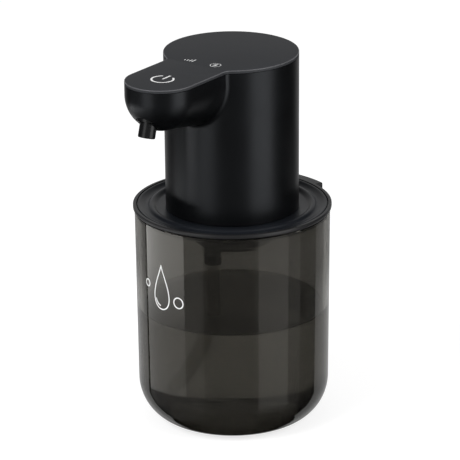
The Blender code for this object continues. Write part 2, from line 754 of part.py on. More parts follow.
def make_screw(name, head, steel, x, y, seat, length, up):
    """A pan head screw that points up or down from its seat."""
    points = [(SCREW_RADIUS, -length), (SCREW_RADIUS, 0), (SCREW_HEAD_RADIUS, 0),
              (SCREW_HEAD_RADIUS, SCREW_HEAD_HEIGHT)]
    if up:
        points = [(radius, -height) for radius, height in points]
    screw = finish(name, turned(points, LEAST_STEPS, closed=False), steel, (x, y, seat), head)
    side = -1 if up else 1
    reach = SCREW_HEAD_RADIUS - SCREW_SLOT
    low, high = sorted((side * SCREW_HEAD_HEIGHT / 2, side * (SCREW_HEAD_HEIGHT + OVERRUN)))
    slot = block((-reach, -SCREW_SLOT / 2, low), (reach, SCREW_SLOT / 2, high))
    cut(screw, finish(name + "_slot", slot, None, (x, y, seat), head))


def nozzle_frame():
    """Where the nozzle's axis meets the spout's skin."""
    forward = SPOUT_REACH - NOZZLE_FROM_TIP
    beyond = forward - SPOUT_CENTRE
    depth = SPOUT_SIDE + math.sqrt(SPOUT_HALF_WIDTH ** 2 - beyond ** 2)
    return Vector((0, -forward, HEAD_TOP - depth))


def along_nozzle(distance):
    """A world point on the nozzle's axis, measured up from the skin."""
    up = Vector((0, math.sin(NOZZLE_TILT), math.cos(NOZZLE_TILT)))
    return nozzle_frame() + up * distance


def flap_form(inner, outer, bottom, top, half_width):
    """A plate that follows the round back of the head."""
    half_angle = math.asin(half_width / HEAD_RADIUS)
    points = [(inner, bottom), (outer, bottom), (outer, top), (inner, top)]
    return turned(points, FLAP_STEPS, math.pi / 2 - half_angle, math.pi / 2 + half_angle)


def make_shell(head, black):
    """The head shell: the moulded body and spout, hollow and open below and above."""
    base = (0, 0, HEAD_BOTTOM)
    shell = finish("head_shell", head_solid(SHELL_TOP_DEPTH, HEAD_HEIGHT, 0.0), black, base, head)
    cavity = head_solid(-OVERRUN, HEAD_HEIGHT + OVERRUN, HEAD_WALL, 4, 2, INNER_COUNTS)
    cut(shell, finish("shell_cavity", cavity, None, base, head))

    hole = drum(NOZZLE_RADIUS + FIT, -NOZZLE_LENGTH, HEAD_WALL + OVERRUN, SMALL_STEPS)
    seat_top = HEAD_WALL + NOZZLE_FLANGE + NOZZLE_BARREL
    seat = drum(NOZZLE_FLANGE_RADIUS + FIT, HEAD_WALL, seat_top, SMALL_STEPS)
    for name, form in (("nozzle_hole", hole), ("nozzle_seat", seat)):
        cut(shell, finish(name, tilted(form, -NOZZLE_TILT, along_nozzle(0)), None, (0, 0, 0), head))

    length = WINDOW_LENGTH / 2 + FIT
    width = WINDOW_WIDTH / 2 + FIT
    top = HEAD_TOP - SPOUT_SIDE
    opening = block((-length, -width, HEAD_BOTTOM), (length, width, top))
    cut(shell, finish("window_opening", opening, None, (0, -WINDOW_FROM_AXIS, 0), head))

    recess = flap_form(HEAD_RADIUS - HEAD_DRAFT - FLAP_THICKNESS - FLAP_GAP, HEAD_RADIUS + OVERRUN,
                       PORT_CENTRE + FLAP_RISE - FLAP_HEIGHT - FLAP_GAP, PORT_CENTRE + FLAP_RISE + FLAP_GAP,
                       FLAP_WIDTH / 2 + FLAP_GAP)
    cut(shell, finish("port_recess", recess, None, (0, 0, 0), head))
    half = PORT_OPENING_WIDTH / 2
    tall = PORT_OPENING_HEIGHT / 2
    hole = block((-half, 0, -tall), (half, HEAD_RADIUS, tall))
    cut(shell, finish("port_opening", hole, None, (0, 0, PORT_CENTRE), head))


def make_panel(head, dark):
    """The flat top, with a bevelled edge, a locating lip and pegs that hold the main board."""
    base = (0, 0, HEAD_BOTTOM)
    plate = panel_solid([(PANEL_THICKNESS, 0.0), (PANEL_BEVEL, 0.0), (0.0, PANEL_BEVEL)])
    panel = finish("top_panel", plate, dark, base, head)
    lip_inset = HEAD_WALL + FIT
    lip_depth = PANEL_THICKNESS + PANEL_LIP_HEIGHT
    rim = panel_solid([(lip_depth, lip_inset), (PANEL_THICKNESS / 2, lip_inset)], INNER_COUNTS)
    join(panel, finish("panel_lip", rim, None, base, head))
    inner = lip_inset + PANEL_LIP_WALL
    hollow = panel_solid([(lip_depth + OVERRUN, inner), (PANEL_THICKNESS, inner)], INNER_COUNTS)
    cut(panel, finish("panel_lip_hollow", hollow, None, base, head))
    front = TOUCH_FROM_TIP + PEG_BEHIND_TOUCH - SPOUT_REACH
    for x, y in ((PEG_SIDE, PEG_BACK), (-PEG_SIDE, PEG_BACK), (0, front)):
        peg = drum(PEG_RADIUS, PANEL_UNDER - PEG_HEIGHT, PANEL_UNDER + PANEL_THICKNESS / 2, TINY_STEPS)
        join(panel, finish("panel_peg", peg, None, (x, y, 0), head))


def make_board(head):
    """The main board under the panel, with the touch pad and the two light guides on it."""
    green = plastic("circuit_board", (0.02, 0.12, 0.05), 0.5)
    copper = plastic("copper_pad", (0.72, 0.36, 0.20), 0.35, metallic=1.0)
    milky = plastic("milky_clear", (0.85, 0.85, 0.85), 0.4)
    inset = HEAD_WALL + FIT + PANEL_LIP_WALL + FIT
    top = HEAD_TOP - BOARD_TOP
    board = panel_solid([(top + BOARD_THICKNESS, inset), (top, inset)], INNER_COUNTS)
    finish("main_board", board, green, (0, 0, HEAD_BOTTOM), head)
    low = BOARD_TOP + FIT
    high = PANEL_UNDER - FIT
    pad = drum(TOUCH_RADIUS, low, high, SMALL_STEPS)
    finish("touch_electrode", pad, copper, (0, TOUCH_FROM_TIP - SPOUT_REACH, 0), head)
    wide = LEVEL_GUIDE_WIDTH / 2
    deep = LEVEL_GUIDE_DEPTH / 2
    levels = block((-wide, -deep, low), (wide, deep, high))
    finish("level_light_guide", levels, milky, (-GUIDE_SIDE, -GUIDE_FROM_AXIS, 0), head)
    charge = drum(CHARGE_GUIDE_RADIUS, low, high, TINY_STEPS)
    finish("charge_light_guide", charge, milky, (GUIDE_SIDE, -GUIDE_FROM_AXIS, 0), head)


def nozzle_inlet():
    """How far up the nozzle's axis its side nipple sits."""
    return HEAD_WALL + FIT + NOZZLE_FLANGE + NOZZLE_BARREL - NOZZLE_CAP - NIPPLE_RADIUS


def make_nozzle(head, black, rubber):
    """The tilted nozzle with its flange, barrel and side nipple, and the drip valve in its mouth."""
    seat = HEAD_WALL + FIT
    flange_top = seat + NOZZLE_FLANGE
    barrel_top = flange_top + NOZZLE_BARREL
    valve_bottom = VALVE_RECESS - NOZZLE_LENGTH
    pocket_top = valve_bottom + VALVE_LENGTH + SLIDE_FIT
    points = [
        (NOZZLE_BORE_RADIUS, barrel_top - NOZZLE_CAP),
        (NOZZLE_BORE_RADIUS, pocket_top),
        (VALVE_RADIUS + SLIDE_FIT, pocket_top),
        (VALVE_RADIUS + SLIDE_FIT, -NOZZLE_LENGTH),
        (NOZZLE_RADIUS - NOZZLE_ROUND, -NOZZLE_LENGTH),
        (NOZZLE_RADIUS, -NOZZLE_LENGTH + NOZZLE_ROUND),
        (NOZZLE_RADIUS, seat),
        (NOZZLE_FLANGE_RADIUS, seat),
        (NOZZLE_FLANGE_RADIUS, flange_top),
        (NOZZLE_BARREL_RADIUS, flange_top),
        (NOZZLE_BARREL_RADIUS, barrel_top),
    ]
    nozzle = finish("nozzle", turned(points, SMALL_STEPS, closed=False), black, nozzle_frame(), head)
    nozzle.rotation_euler = (-NOZZLE_TILT, 0, 0)
    reach = NOZZLE_BARREL_RADIUS + NIPPLE_HEIGHT
    stub = drum(NIPPLE_RADIUS, (NOZZLE_BORE_RADIUS + NOZZLE_BARREL_RADIUS) / 2, reach, TINY_STEPS)
    bore = drum(NIPPLE_BORE_RADIUS, 0, reach + OVERRUN, TINY_STEPS)
    for name, form, action in (("nozzle_nipple", stub, "UNION"), ("nozzle_inlet", bore, "DIFFERENCE")):
        piece = finish(name, form, None, along_nozzle(nozzle_inlet()), head)
        piece.rotation_euler = (-math.pi / 2, 0, 0)
        cut(nozzle, piece, action)
    valve = tube(VALVE_RADIUS, VALVE_BORE_RADIUS, valve_bottom, valve_bottom + VALVE_LENGTH, TINY_STEPS)
    item = finish("outlet_valve", valve, rubber, nozzle_frame(), head)
    item.rotation_euler = (-NOZZLE_TILT, 0, 0)


def make_sensor(head):
    """The hand sensor: a dark window flush with the spout, two diodes and their board."""
    dark = plastic("dark_window", (0.004, 0.003, 0.004), 0.05)
    green = plastic("sensor_green", (0.02, 0.12, 0.05), 0.5)
    clear = plastic("clear_lens", (0.55, 0.60, 0.70), 0.1)
    grey = plastic("dark_lens", (0.02, 0.02, 0.03), 0.1)
    base = (0, 0, HEAD_BOTTOM)
    skin = head_solid(SPOUT_SIDE / 2, HEAD_HEIGHT, WINDOW_RECESS, 6, 3, WINDOW_COUNTS)
    window = finish("sensor_window", skin, dark, base, head)
    depth = WINDOW_RECESS + WINDOW_THICKNESS
    inner = head_solid(-OVERRUN, HEAD_HEIGHT + OVERRUN, depth, 6, 3, WINDOW_COUNTS)
    cut(window, finish("window_back", inner, None, base, head))
    length = WINDOW_LENGTH / 2
    width = WINDOW_WIDTH / 2
    middle = HEAD_TOP - SPOUT_TIP_DEPTH
    bound = block((-length, -width, -SPOUT_TIP_DEPTH), (length, width, SPOUT_SIDE))
    cut(window, finish("window_bound", bound, None, (0, -WINDOW_FROM_AXIS, middle), head), "INTERSECT")
    slope = SPOUT_DROP / (SPOUT_CENTRE - HEAD_RADIUS)
    skin_depth = SPOUT_TIP_DEPTH + (SPOUT_CENTRE - WINDOW_FROM_AXIS + EMITTER_RADIUS) * slope
    rise = SPOUT_HALF_WIDTH - math.sqrt(SPOUT_HALF_WIDTH ** 2 - (EMITTER_SPACING / 2 + EMITTER_RADIUS) ** 2)
    foot = HEAD_TOP - skin_depth + WINDOW_RECESS + WINDOW_THICKNESS + rise + FIT + slope * EMITTER_RADIUS * 2
    for name, side, look in (("ir_emitter", -1, clear), ("ir_receiver", 1, grey)):
        lens = drum(EMITTER_RADIUS, 0.0, EMITTER_HEIGHT, TINY_STEPS, EMITTER_EDGE)
        finish(name, lens, look, (side * EMITTER_SPACING / 2, -WINDOW_FROM_AXIS, foot), head)
    half = SENSOR_BOARD_LENGTH / 2
    deep = SENSOR_BOARD_WIDTH / 2
    board = block((-half, -deep, 0), (half, deep, SENSOR_BOARD_THICKNESS))
    finish("sensor_board", board, green, (0, -WINDOW_FROM_AXIS, foot + EMITTER_HEIGHT + FIT), head)


def make_pump_housing(head, black):
    """The pump cup with its flange, gear pocket, bearing seats and inlet stub."""
    points = [(PUMP_RADIUS - PUMP_ROUND, PUMP_BOTTOM)]
    points += arc((PUMP_RADIUS - PUMP_ROUND, PUMP_BOTTOM + PUMP_ROUND), PUMP_ROUND, -90, 0, 4)[1:]
    points += [(PUMP_RADIUS, FLANGE_BOTTOM), (PUMP_FLANGE_RADIUS, FLANGE_BOTTOM),
               (PUMP_FLANGE_RADIUS, FLANGE_TOP)]
    housing = finish("pump_housing", turned(points, RING_STEPS, closed=False), black, parent=head)
    inlet = (0, -INLET_FROM_AXIS, 0)
    stub = drum(INLET_RADIUS, PUMP_BOTTOM - INLET_LENGTH, PUMP_BOTTOM + PUMP_ROUND, SMALL_STEPS)
    join(housing, finish("inlet_stub", stub, None, inlet, head))

    meet = math.degrees(math.acos(GEAR_OFFSET / POCKET_RADIUS))
    outline = arc((GEAR_OFFSET, 0), POCKET_RADIUS, meet - 180, 180 - meet, POCKET_STEPS)
    outline += arc((-GEAR_OFFSET, 0), POCKET_RADIUS, meet, 360 - meet, POCKET_STEPS)[1:-1]
    pocket = stack([[(x, y, z) for x, y in outline] for z in (POCKET_BOTTOM, FLANGE_TOP + OVERRUN)])
    cut(housing, finish("gear_pocket", pocket, None, (0, 0, 0), head))
    cut_duct(housing, head, -POCKET_RADIUS / 2, (0, -INLET_FROM_AXIS))
    cut_duct(housing, head, POCKET_RADIUS / 2, (OUTLET_X, OUTLET_Y))

    suction = drum(DUCT_WIDTH / 2, PUMP_BOTTOM, FLANGE_TOP - DUCT_DEPTH / 2, TINY_STEPS)
    cut(housing, finish("suction_bore", suction, None, inlet, head))
    socket = drum(DIP_TUBE_RADIUS + SLIDE_FIT, PUMP_BOTTOM - INLET_LENGTH - OVERRUN, PUMP_BOTTOM + FIT,
                  SMALL_STEPS)
    cut(housing, finish("tube_socket", socket, None, inlet, head))
    seats = (("pin_seat", -GEAR_OFFSET, PIN_RADIUS), ("shaft_seat", GEAR_OFFSET, SHAFT_RADIUS))
    for name, x, radius in seats:
        seat = drum(radius + SLIDE_FIT, POCKET_BOTTOM - PIN_SEAT_DEPTH, FLANGE_TOP, TINY_STEPS)
        cut(housing, finish(name, seat, None, (x, 0, 0), head))
    return housing


def cut_duct(housing, head, start, end):
    """A flat channel from the middle line of the gear pocket to a round well."""
    x, y = end
    run = math.hypot(x, y - start)
    low = FLANGE_TOP - DUCT_DEPTH
    high = FLANGE_TOP + OVERRUN
    channel = block((0, -DUCT_WIDTH / 2, low), (run, DUCT_WIDTH / 2, high))
    piece = finish("duct", channel, None, (0, start, 0), head)
    piece.rotation_euler = (0, 0, math.atan2(y - start, x))
    cut(housing, piece)
    well = drum(DUCT_WIDTH / 2 + SLIDE_FIT, low, high, TINY_STEPS)
    cut(housing, finish("duct_end", well, None, (x, y, 0), head))


def make_pump_cover(head, black, rubber):
    """The cover over the gears, with the outlet nipple and the shaft's seal."""
    cover = finish("pump_cover", drum(PUMP_FLANGE_RADIUS - FIT, COVER_BOTTOM, COVER_TOP, RING_STEPS), black,
                   parent=head)
    outlet = (OUTLET_X, OUTLET_Y, 0)
    drive = (GEAR_OFFSET, 0, 0)
    idler = (-GEAR_OFFSET, 0, 0)
    under = COVER_BOTTOM - OVERRUN
    over = COVER_TOP + OVERRUN
    nipple = drum(NIPPLE_RADIUS, COVER_BOTTOM, COVER_TOP + NIPPLE_HEIGHT, TINY_STEPS)
    join(cover, finish("outlet_nipple", nipple, None, outlet, head))
    holes = (
        ("nipple_bore", outlet, NIPPLE_BORE_RADIUS, under, over + NIPPLE_HEIGHT),
        ("shaft_hole", drive, SHAFT_RADIUS + FIT, under, over),
        ("seal_seat", drive, SEAL_RADIUS + SLIDE_FIT, COVER_TOP - SEAL_HEIGHT - SLIDE_FIT, over),
        ("pin_hole", idler, PIN_RADIUS + SLIDE_FIT, under, COVER_BOTTOM + PIN_RADIUS),
    )
    for name, place, radius, low, high in holes:
        steps = SMALL_STEPS if name == "seal_seat" else TINY_STEPS
        cut(cover, finish(name, drum(radius, low, high, steps), None, place, head))
    seal = tube(SEAL_RADIUS, SHAFT_RADIUS + SLIDE_FIT, COVER_TOP - SEAL_HEIGHT, COVER_TOP, SMALL_STEPS)
    finish("shaft_seal", seal, rubber, drive, head)
    return cover


def make_pump(head, black, steel, rubber):
    """The pump cup and its cover, held together by three sunk screws."""
    housing = make_pump_housing(head, black)
    cover = make_pump_cover(head, black, rubber)
    seat = COVER_TOP - SCREW_HEAD_HEIGHT - SLIDE_FIT
    for index, (x, y) in enumerate(screw_places(PUMP_SCREW_CIRCLE, PUMP_SCREW_DEGREES)):
        recess = drum(SCREW_HEAD_RADIUS + SLIDE_FIT, seat - SLIDE_FIT, COVER_TOP + OVERRUN, TINY_STEPS)
        cut(cover, finish("screw_recess", recess, None, (x, y, 0), head))
        hole = drum(SCREW_RADIUS + SLIDE_FIT, seat - SCREW_LENGTH - SLIDE_FIT, COVER_TOP, TINY_STEPS)
        piece = finish("screw_hole", hole, None, (x, y, 0), head)
        cut(cover, piece)
        cut(housing, piece)
        make_screw(f"pump_screw_{index + 1}", head, steel, x, y, seat, SCREW_LENGTH, False)


def make_gears(drive, idler, head, steel):
    """The meshed pair: a driven gear on a long shaft and an idler on a fixed pin."""
    nylon = plastic("natural_nylon", (0.80, 0.77, 0.68), 0.45)
    bottom = POCKET_BOTTOM + FIT / 2
    thickness = GEAR_THICKNESS
    gear = finish("drive_gear", involute_gear(thickness), nylon, (GEAR_OFFSET, 0, bottom), drive)
    shaft = drum(SHAFT_RADIUS, -PIN_SEAT_DEPTH, SHAFT_LENGTH, TINY_STEPS)
    join(gear, finish("drive_shaft", shaft, None, (GEAR_OFFSET, 0, bottom), drive))
    other = finish("idler_gear", involute_gear(thickness), nylon, (-GEAR_OFFSET, 0, bottom), idler)
    other.rotation_euler = (0, 0, math.pi / GEAR_TEETH)
    bore = drum(PIN_RADIUS + SLIDE_FIT, -OVERRUN, thickness + OVERRUN, TINY_STEPS)
    cut(other, finish("idler_bore", bore, None, (-GEAR_OFFSET, 0, bottom), idler))
    pin = drum(PIN_RADIUS, POCKET_BOTTOM - PIN_SEAT_DEPTH + SLIDE_FIT, COVER_BOTTOM + PIN_RADIUS - SLIDE_FIT,
               TINY_STEPS)
    finish("idler_pin", pin, steel, (-GEAR_OFFSET, 0, 0), head)


def make_chassis(head, black, steel):
    """The frame over the pump: a plate on three posts with sleeves for the motor and the battery."""
    plate = drum(CAVITY_RADIUS - CHASSIS_GAP, CHASSIS_BOTTOM, CHASSIS_TOP, RING_STEPS)
    chassis = finish("chassis", plate, black, parent=head)
    sleeves = (("motor_sleeve", GEAR_OFFSET, MOTOR_RADIUS, MOTOR_SLEEVE),
               ("battery_sleeve", -BATTERY_SIDE, BATTERY_RADIUS, BATTERY_SLEEVE))
    for name, x, radius, height in sleeves:
        wall = drum(radius + FIT + SLEEVE_WALL, CHASSIS_BOTTOM + CHASSIS_THICKNESS / 2, CHASSIS_TOP + height,
                    SLEEVE_STEPS)
        join(chassis, finish(name, wall, None, (x, 0, 0), head))
    wide = PEDESTAL_WIDTH / 2
    pedestal = block((-wide, PORT_BACK - PEDESTAL_DEPTH, CHASSIS_BOTTOM + CHASSIS_THICKNESS / 2),
                     (wide, PORT_BACK, PORT_CENTRE - USB_HEIGHT / 2 - USB_BOARD_THICKNESS - 2 * FIT))
    join(chassis, finish("port_pedestal", pedestal, None, (0, 0, 0), head))
    for x, y in screw_places(CHASSIS_SCREW_CIRCLE, CHASSIS_SCREW_DEGREES):
        post = drum(POST_RADIUS, VALLEY_TOP + FIT, CHASSIS_BOTTOM + CHASSIS_THICKNESS / 2, TINY_STEPS)
        join(chassis, finish("chassis_post", post, None, (x, y, 0), head))
    for name, x, radius, height in sleeves:
        room = drum(radius + FIT, CHASSIS_TOP + SLEEVE_FLOOR, CHASSIS_TOP + height + OVERRUN, SLEEVE_STEPS)
        cut(chassis, finish(name + "_room", room, None, (x, 0, 0), head))
    boss_room = drum(MOTOR_BOSS_RADIUS + FIT, CHASSIS_BOTTOM - OVERRUN, CHASSIS_TOP + OVERRUN, SMALL_STEPS)
    cut(chassis, finish("boss_room", boss_room, None, (GEAR_OFFSET, 0, 0), head))
    hose_room = drum(HOSE_RADIUS + FIT, CHASSIS_BOTTOM - OVERRUN, CHASSIS_TOP + MOTOR_SLEEVE + OVERRUN,
                     SMALL_STEPS)
    cut(chassis, finish("hose_room", hose_room, None, (OUTLET_X, OUTLET_Y, 0), head))
    for index, (x, y) in enumerate(screw_places(CHASSIS_SCREW_CIRCLE, CHASSIS_SCREW_DEGREES)):
        seat = LID_UNDER - SLIDE_FIT
        tapped = drum(SCREW_RADIUS + SLIDE_FIT, VALLEY_TOP - OVERRUN, seat + CHASSIS_SCREW_LENGTH + SLIDE_FIT,
                      TINY_STEPS)
        cut(chassis, finish("tapped_hole", tapped, None, (x, y, 0), head))
        make_screw(f"chassis_screw_{index + 1}", head, steel, x, y, seat, CHASSIS_SCREW_LENGTH, True)


def make_motor(head, steel):
    """The motor can, its end cap and terminals."""
    white = plastic("white_nylon", (0.82, 0.82, 0.80), 0.5)
    place = (GEAR_OFFSET, 0, 0)
    can = drum(MOTOR_RADIUS, MOTOR_BOTTOM, MOTOR_TOP, SLEEVE_STEPS, MOTOR_EDGE)
    motor = finish("motor_can", can, steel, place, head)
    boss = drum(MOTOR_BOSS_RADIUS, MOTOR_BOTTOM - MOTOR_BOSS, MOTOR_BOTTOM + MOTOR_EDGE, SMALL_STEPS)
    join(motor, finish("motor_boss", boss, None, place, head))
    shaft_top = POCKET_BOTTOM + FIT / 2 + SHAFT_LENGTH
    room = drum(SHAFT_RADIUS + SLIDE_FIT, MOTOR_BOTTOM - OVERRUN, shaft_top + FIT, TINY_STEPS)
    cut(motor, finish("shaft_room", room, None, place, head))
    low = MOTOR_TOP + SLIDE_FIT
    disc = drum(MOTOR_RADIUS - MOTOR_EDGE, low, low + END_CAP_THICKNESS, SLEEVE_STEPS, MOTOR_EDGE)
    cap = finish("motor_end_cap", disc, white, place, head)
    for side in (-1, 1):
        middle = side * (MOTOR_RADIUS - TERMINAL_FROM_EDGE)
        wide = TERMINAL_WIDTH / 2
        thin = TERMINAL_THICKNESS / 2
        top = low + END_CAP_THICKNESS + TERMINAL_HEIGHT
        tag = block((-wide, middle - thin, low + END_CAP_THICKNESS / 2), (wide, middle + thin, top))
        join(cap, finish("terminal", tag, None, place, head))


def make_battery(head):
    """The rechargeable cell, which fills the height under the main board."""
    wrap = plastic("battery_wrap", (0.05, 0.16, 0.42), 0.35)
    place = (-BATTERY_SIDE, 0, 0)
    body = drum(BATTERY_RADIUS, BATTERY_BOTTOM, BATTERY_TOP, SLEEVE_STEPS, BATTERY_EDGE)
    cell = finish("battery_cell", body, wrap, place, head)
    nub = drum(BATTERY_NUB_RADIUS, BATTERY_TOP - BATTERY_NUB, BATTERY_TOP + BATTERY_NUB, TINY_STEPS)
    join(cell, finish("battery_nub", nub, None, place, head))


def make_hoses(head):
    """The hose from the pump to the nozzle and the dip tube that hangs into the soap."""
    clear = plastic("clear_silicone", (0.75, 0.76, 0.78), 0.3)
    smoke = plastic("smoky_tube", (0.10, 0.10, 0.09), 0.3)
    bottom = COVER_TOP + FIT
    inlet = along_nozzle(nozzle_inlet())
    bend = HOSE_BEND_RADIUS
    tight = bend * (1 - math.cos(math.pi / 4))
    barrel_side = NOZZLE_BARREL_RADIUS / math.cos(NOZZLE_TILT) + HOSE_RADIUS * math.tan(NOZZLE_TILT)
    corners = [
        (OUTLET_X, OUTLET_Y, bottom),
        (OUTLET_X, OUTLET_Y, bottom + NIPPLE_HEIGHT + HOSE_RADIUS),
        (OUTLET_X, OUTLET_Y, inlet.z - bend),
        (OUTLET_X, OUTLET_Y - tight, inlet.z - tight),
        (OUTLET_X, OUTLET_Y - bend, inlet.z),
        (OUTLET_X / 2, -HEAD_RADIUS / 2, inlet.z),
        (0, inlet.y + NOZZLE_BARREL_RADIUS + NIPPLE_HEIGHT + HOSE_RADIUS, inlet.z),
        (0, inlet.y + barrel_side + FIT, inlet.z),
    ]
    path = smooth_path(corners, HOSE_RUN_STEPS)
    finish("outlet_hose", swept(path, HOSE_RADIUS, HOSE_BORE_RADIUS, LEAST_STEPS), clear, parent=head)

    corners = [(0, -INLET_FROM_AXIS, PUMP_BOTTOM)]
    for x, y, z in DIP_TUBE_SHARES:
        corners.append((x * DIP_TUBE_RADIUS, -INLET_FROM_AXIS + y * DIP_TUBE_RADIUS, PUMP_BOTTOM * z))
    path = smooth_path(corners, TUBE_RUN_STEPS)
    finish("dip_tube", swept(path, DIP_TUBE_RADIUS, DIP_TUBE_BORE_RADIUS, LEAST_STEPS), smoke, parent=head)


def socket_outline(half_width, half_height):
    """A rectangle with round ends in (x, z)."""
    ring = []
    radius = min(USB_ROUND, half_height)
    for sx, sz, first in ((1, 1, 0), (-1, 1, 90), (-1, -1, 180), (1, -1, 270)):
        centre = (sx * (half_width - radius), sz * (half_height - radius))
        ring += arc(centre, radius, first, first + 90, 3)
    return ring


def make_socket(head):
    """The charging socket with its tongue, and the small board under it."""
    steel = plastic("socket_steel", (0.60, 0.60, 0.62), 0.3, metallic=1.0)
    green = plastic("port_green", (0.02, 0.12, 0.05), 0.5)
    mouth = PORT_BACK + USB_WALL
    rear = mouth - USB_DEPTH
    tall = USB_HEIGHT / 2
    wide = USB_WIDTH / 2
    place = (0, 0, PORT_CENTRE)
    shell = stack([[(x, y, z) for x, z in socket_outline(wide, tall)] for y in (rear, mouth)])
    socket = finish("usb_socket", shell, steel, place, head)
    inner = socket_outline(wide - USB_WALL, tall - USB_WALL)
    room = stack([[(x, y, z) for x, z in inner] for y in (rear + USB_SETBACK, mouth + OVERRUN)])
    cut(socket, finish("socket_room", room, None, place, head))
    tongue = block((-USB_TONGUE_WIDTH / 2, rear + USB_WALL, -USB_TONGUE / 2),
                   (USB_TONGUE_WIDTH / 2, mouth - USB_SETBACK, USB_TONGUE / 2))
    join(socket, finish("socket_tongue", tongue, None, place, head))
    half = USB_BOARD_WIDTH / 2
    top = PORT_CENTRE - tall - FIT
    board = block((-half, PORT_BACK - USB_BOARD_DEPTH, top - USB_BOARD_THICKNESS), (half, PORT_BACK, top))
    finish("usb_board", board, green, parent=head)


def make_flap(head, cover, black):
    """The flap over the charging port: a plate on a hinge barrel, with a plug for the opening."""
    hinge = Vector(cover["place"])
    outside = HEAD_RADIUS - HEAD_DRAFT
    plate = flap_form(outside - FLAP_THICKNESS, outside, hinge.z + FLAP_HINGE_RADIUS - FLAP_HINGE_LAP,
                      PORT_CENTRE + FLAP_RISE, FLAP_WIDTH / 2)
    flap = finish("port_cover", moved(plate, -hinge), black, hinge, cover)
    barrel = drum(FLAP_HINGE_RADIUS, -FLAP_HINGE_WIDTH / 2, FLAP_HINGE_WIDTH / 2, TINY_STEPS)
    piece = finish("flap_barrel", barrel, None, hinge, cover)
    piece.rotation_euler = (0, math.pi / 2, 0)
    join(flap, piece)
    half = PORT_OPENING_WIDTH / 2 - FIT
    tall = PORT_OPENING_HEIGHT / 2 - FIT
    plug = block((-half, outside - FLAP_THICKNESS - FLAP_PLUG, PORT_CENTRE - tall),
                 (half, outside - FLAP_THICKNESS / 2, PORT_CENTRE + tall))
    join(flap, finish("flap_plug", moved(plug, -hinge), None, hinge, cover))


def main():
    clear_scene()
    black = plastic("black_plastic", (0.012, 0.012, 0.013), 0.42)
    dark = plastic("charcoal_plastic", (0.055, 0.056, 0.060), 0.5)
    rubber = plastic("black_rubber", (0.02, 0.02, 0.02), 0.75)
    steel = plastic("plated_steel", (0.62, 0.62, 0.62), 0.3, metallic=1.0)
    root = make_empty("base", (0, 0, 0))
    head = make_empty("head_lift", (0, 0, VALLEY_TOP), root)
    drive = make_empty("drive_axis", (GEAR_OFFSET, 0, POCKET_BOTTOM), head)
    idler = make_empty("idler_axis", (-GEAR_OFFSET, 0, POCKET_BOTTOM), head)
    hinge_radius = HEAD_RADIUS - HEAD_DRAFT - FLAP_THICKNESS / 2
    hinge_height = PORT_CENTRE + FLAP_RISE - FLAP_HEIGHT + FLAP_HINGE_RADIUS
    cover = make_empty("cover_hinge", (0, hinge_radius, hinge_height), head)
    make_bottle(root)
    make_collar(root, black)
    make_lid(head, black, rubber)
    make_shell(head, black)
    make_panel(head, dark)
    make_board(head)
    make_nozzle(head, black, rubber)
    make_sensor(head)
    make_pump(head, black, steel, rubber)
    make_gears(drive, idler, head, steel)
    make_chassis(head, black, steel)
    make_motor(head, steel)
    make_battery(head)
    make_hoses(head)
    make_socket(head)
    make_flap(head, cover, black)


main()
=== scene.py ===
# Automatic soap dispenser: surfaces, soap, prints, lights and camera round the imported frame.
# Lengths are in metres, in the frame's own axes: +Z up, the spout towards -Y.
import json
import math

import bmesh
import bpy
import numpy as np
from mathutils import Matrix, Vector


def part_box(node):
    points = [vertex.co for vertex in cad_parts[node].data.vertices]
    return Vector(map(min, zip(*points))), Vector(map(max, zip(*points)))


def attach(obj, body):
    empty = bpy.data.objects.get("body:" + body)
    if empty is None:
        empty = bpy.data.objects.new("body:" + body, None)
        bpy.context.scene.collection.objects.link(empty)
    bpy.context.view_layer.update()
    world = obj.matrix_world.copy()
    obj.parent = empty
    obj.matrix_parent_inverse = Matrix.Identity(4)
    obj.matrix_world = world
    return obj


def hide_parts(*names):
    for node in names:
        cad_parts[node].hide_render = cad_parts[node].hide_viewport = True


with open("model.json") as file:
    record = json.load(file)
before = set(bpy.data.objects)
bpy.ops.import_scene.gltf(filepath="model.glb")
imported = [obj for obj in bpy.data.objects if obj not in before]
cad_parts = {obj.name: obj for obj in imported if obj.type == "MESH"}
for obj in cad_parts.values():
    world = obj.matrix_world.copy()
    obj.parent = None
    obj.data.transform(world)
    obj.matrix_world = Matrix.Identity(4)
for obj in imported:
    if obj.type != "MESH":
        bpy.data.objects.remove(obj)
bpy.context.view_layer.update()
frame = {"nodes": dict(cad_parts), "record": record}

# Corners of the solids that the pieces fit
bottle_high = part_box("bottle")[1]
collar_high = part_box("collar_ring")[1]
shell_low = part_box("head_shell")[0]
pump_low, pump_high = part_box("pump_housing")
gear_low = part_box("idler_gear")[0]

# Shared by many pieces
FIT = 0.0003
SKIN = 0.00002
TURN_STEPS = 180
SHARP_DEGREES = 35
FLAT_CORNER = math.radians(150)
ROUND_SIDE_PARTS = 2.5

# Bottle
BOTTLE_RADIUS = bottle_high.x
BOTTLE_HEIGHT = bottle_high.z
BOTTLE_DRAFT = 0.00075
BOTTLE_WALL = 0.0022
BOTTLE_FLOOR = 0.0032
CORNER_WIDTH = 0.0151
CORNER_HEIGHT = 0.0169
CORNER_STEPS = 24
LIP_WALL = 0.0011
LIP_DEPTH = 0.0016
LIP_ROUND = 0.0002
SOAP_TOP = 0.04735
SOAP_OVERLAP = 0.00005
# Soap faces that point up by more than this get the painted sheen
PAINTED_SHEEN_FACING = 0.5
MENISCUS = 0.0012

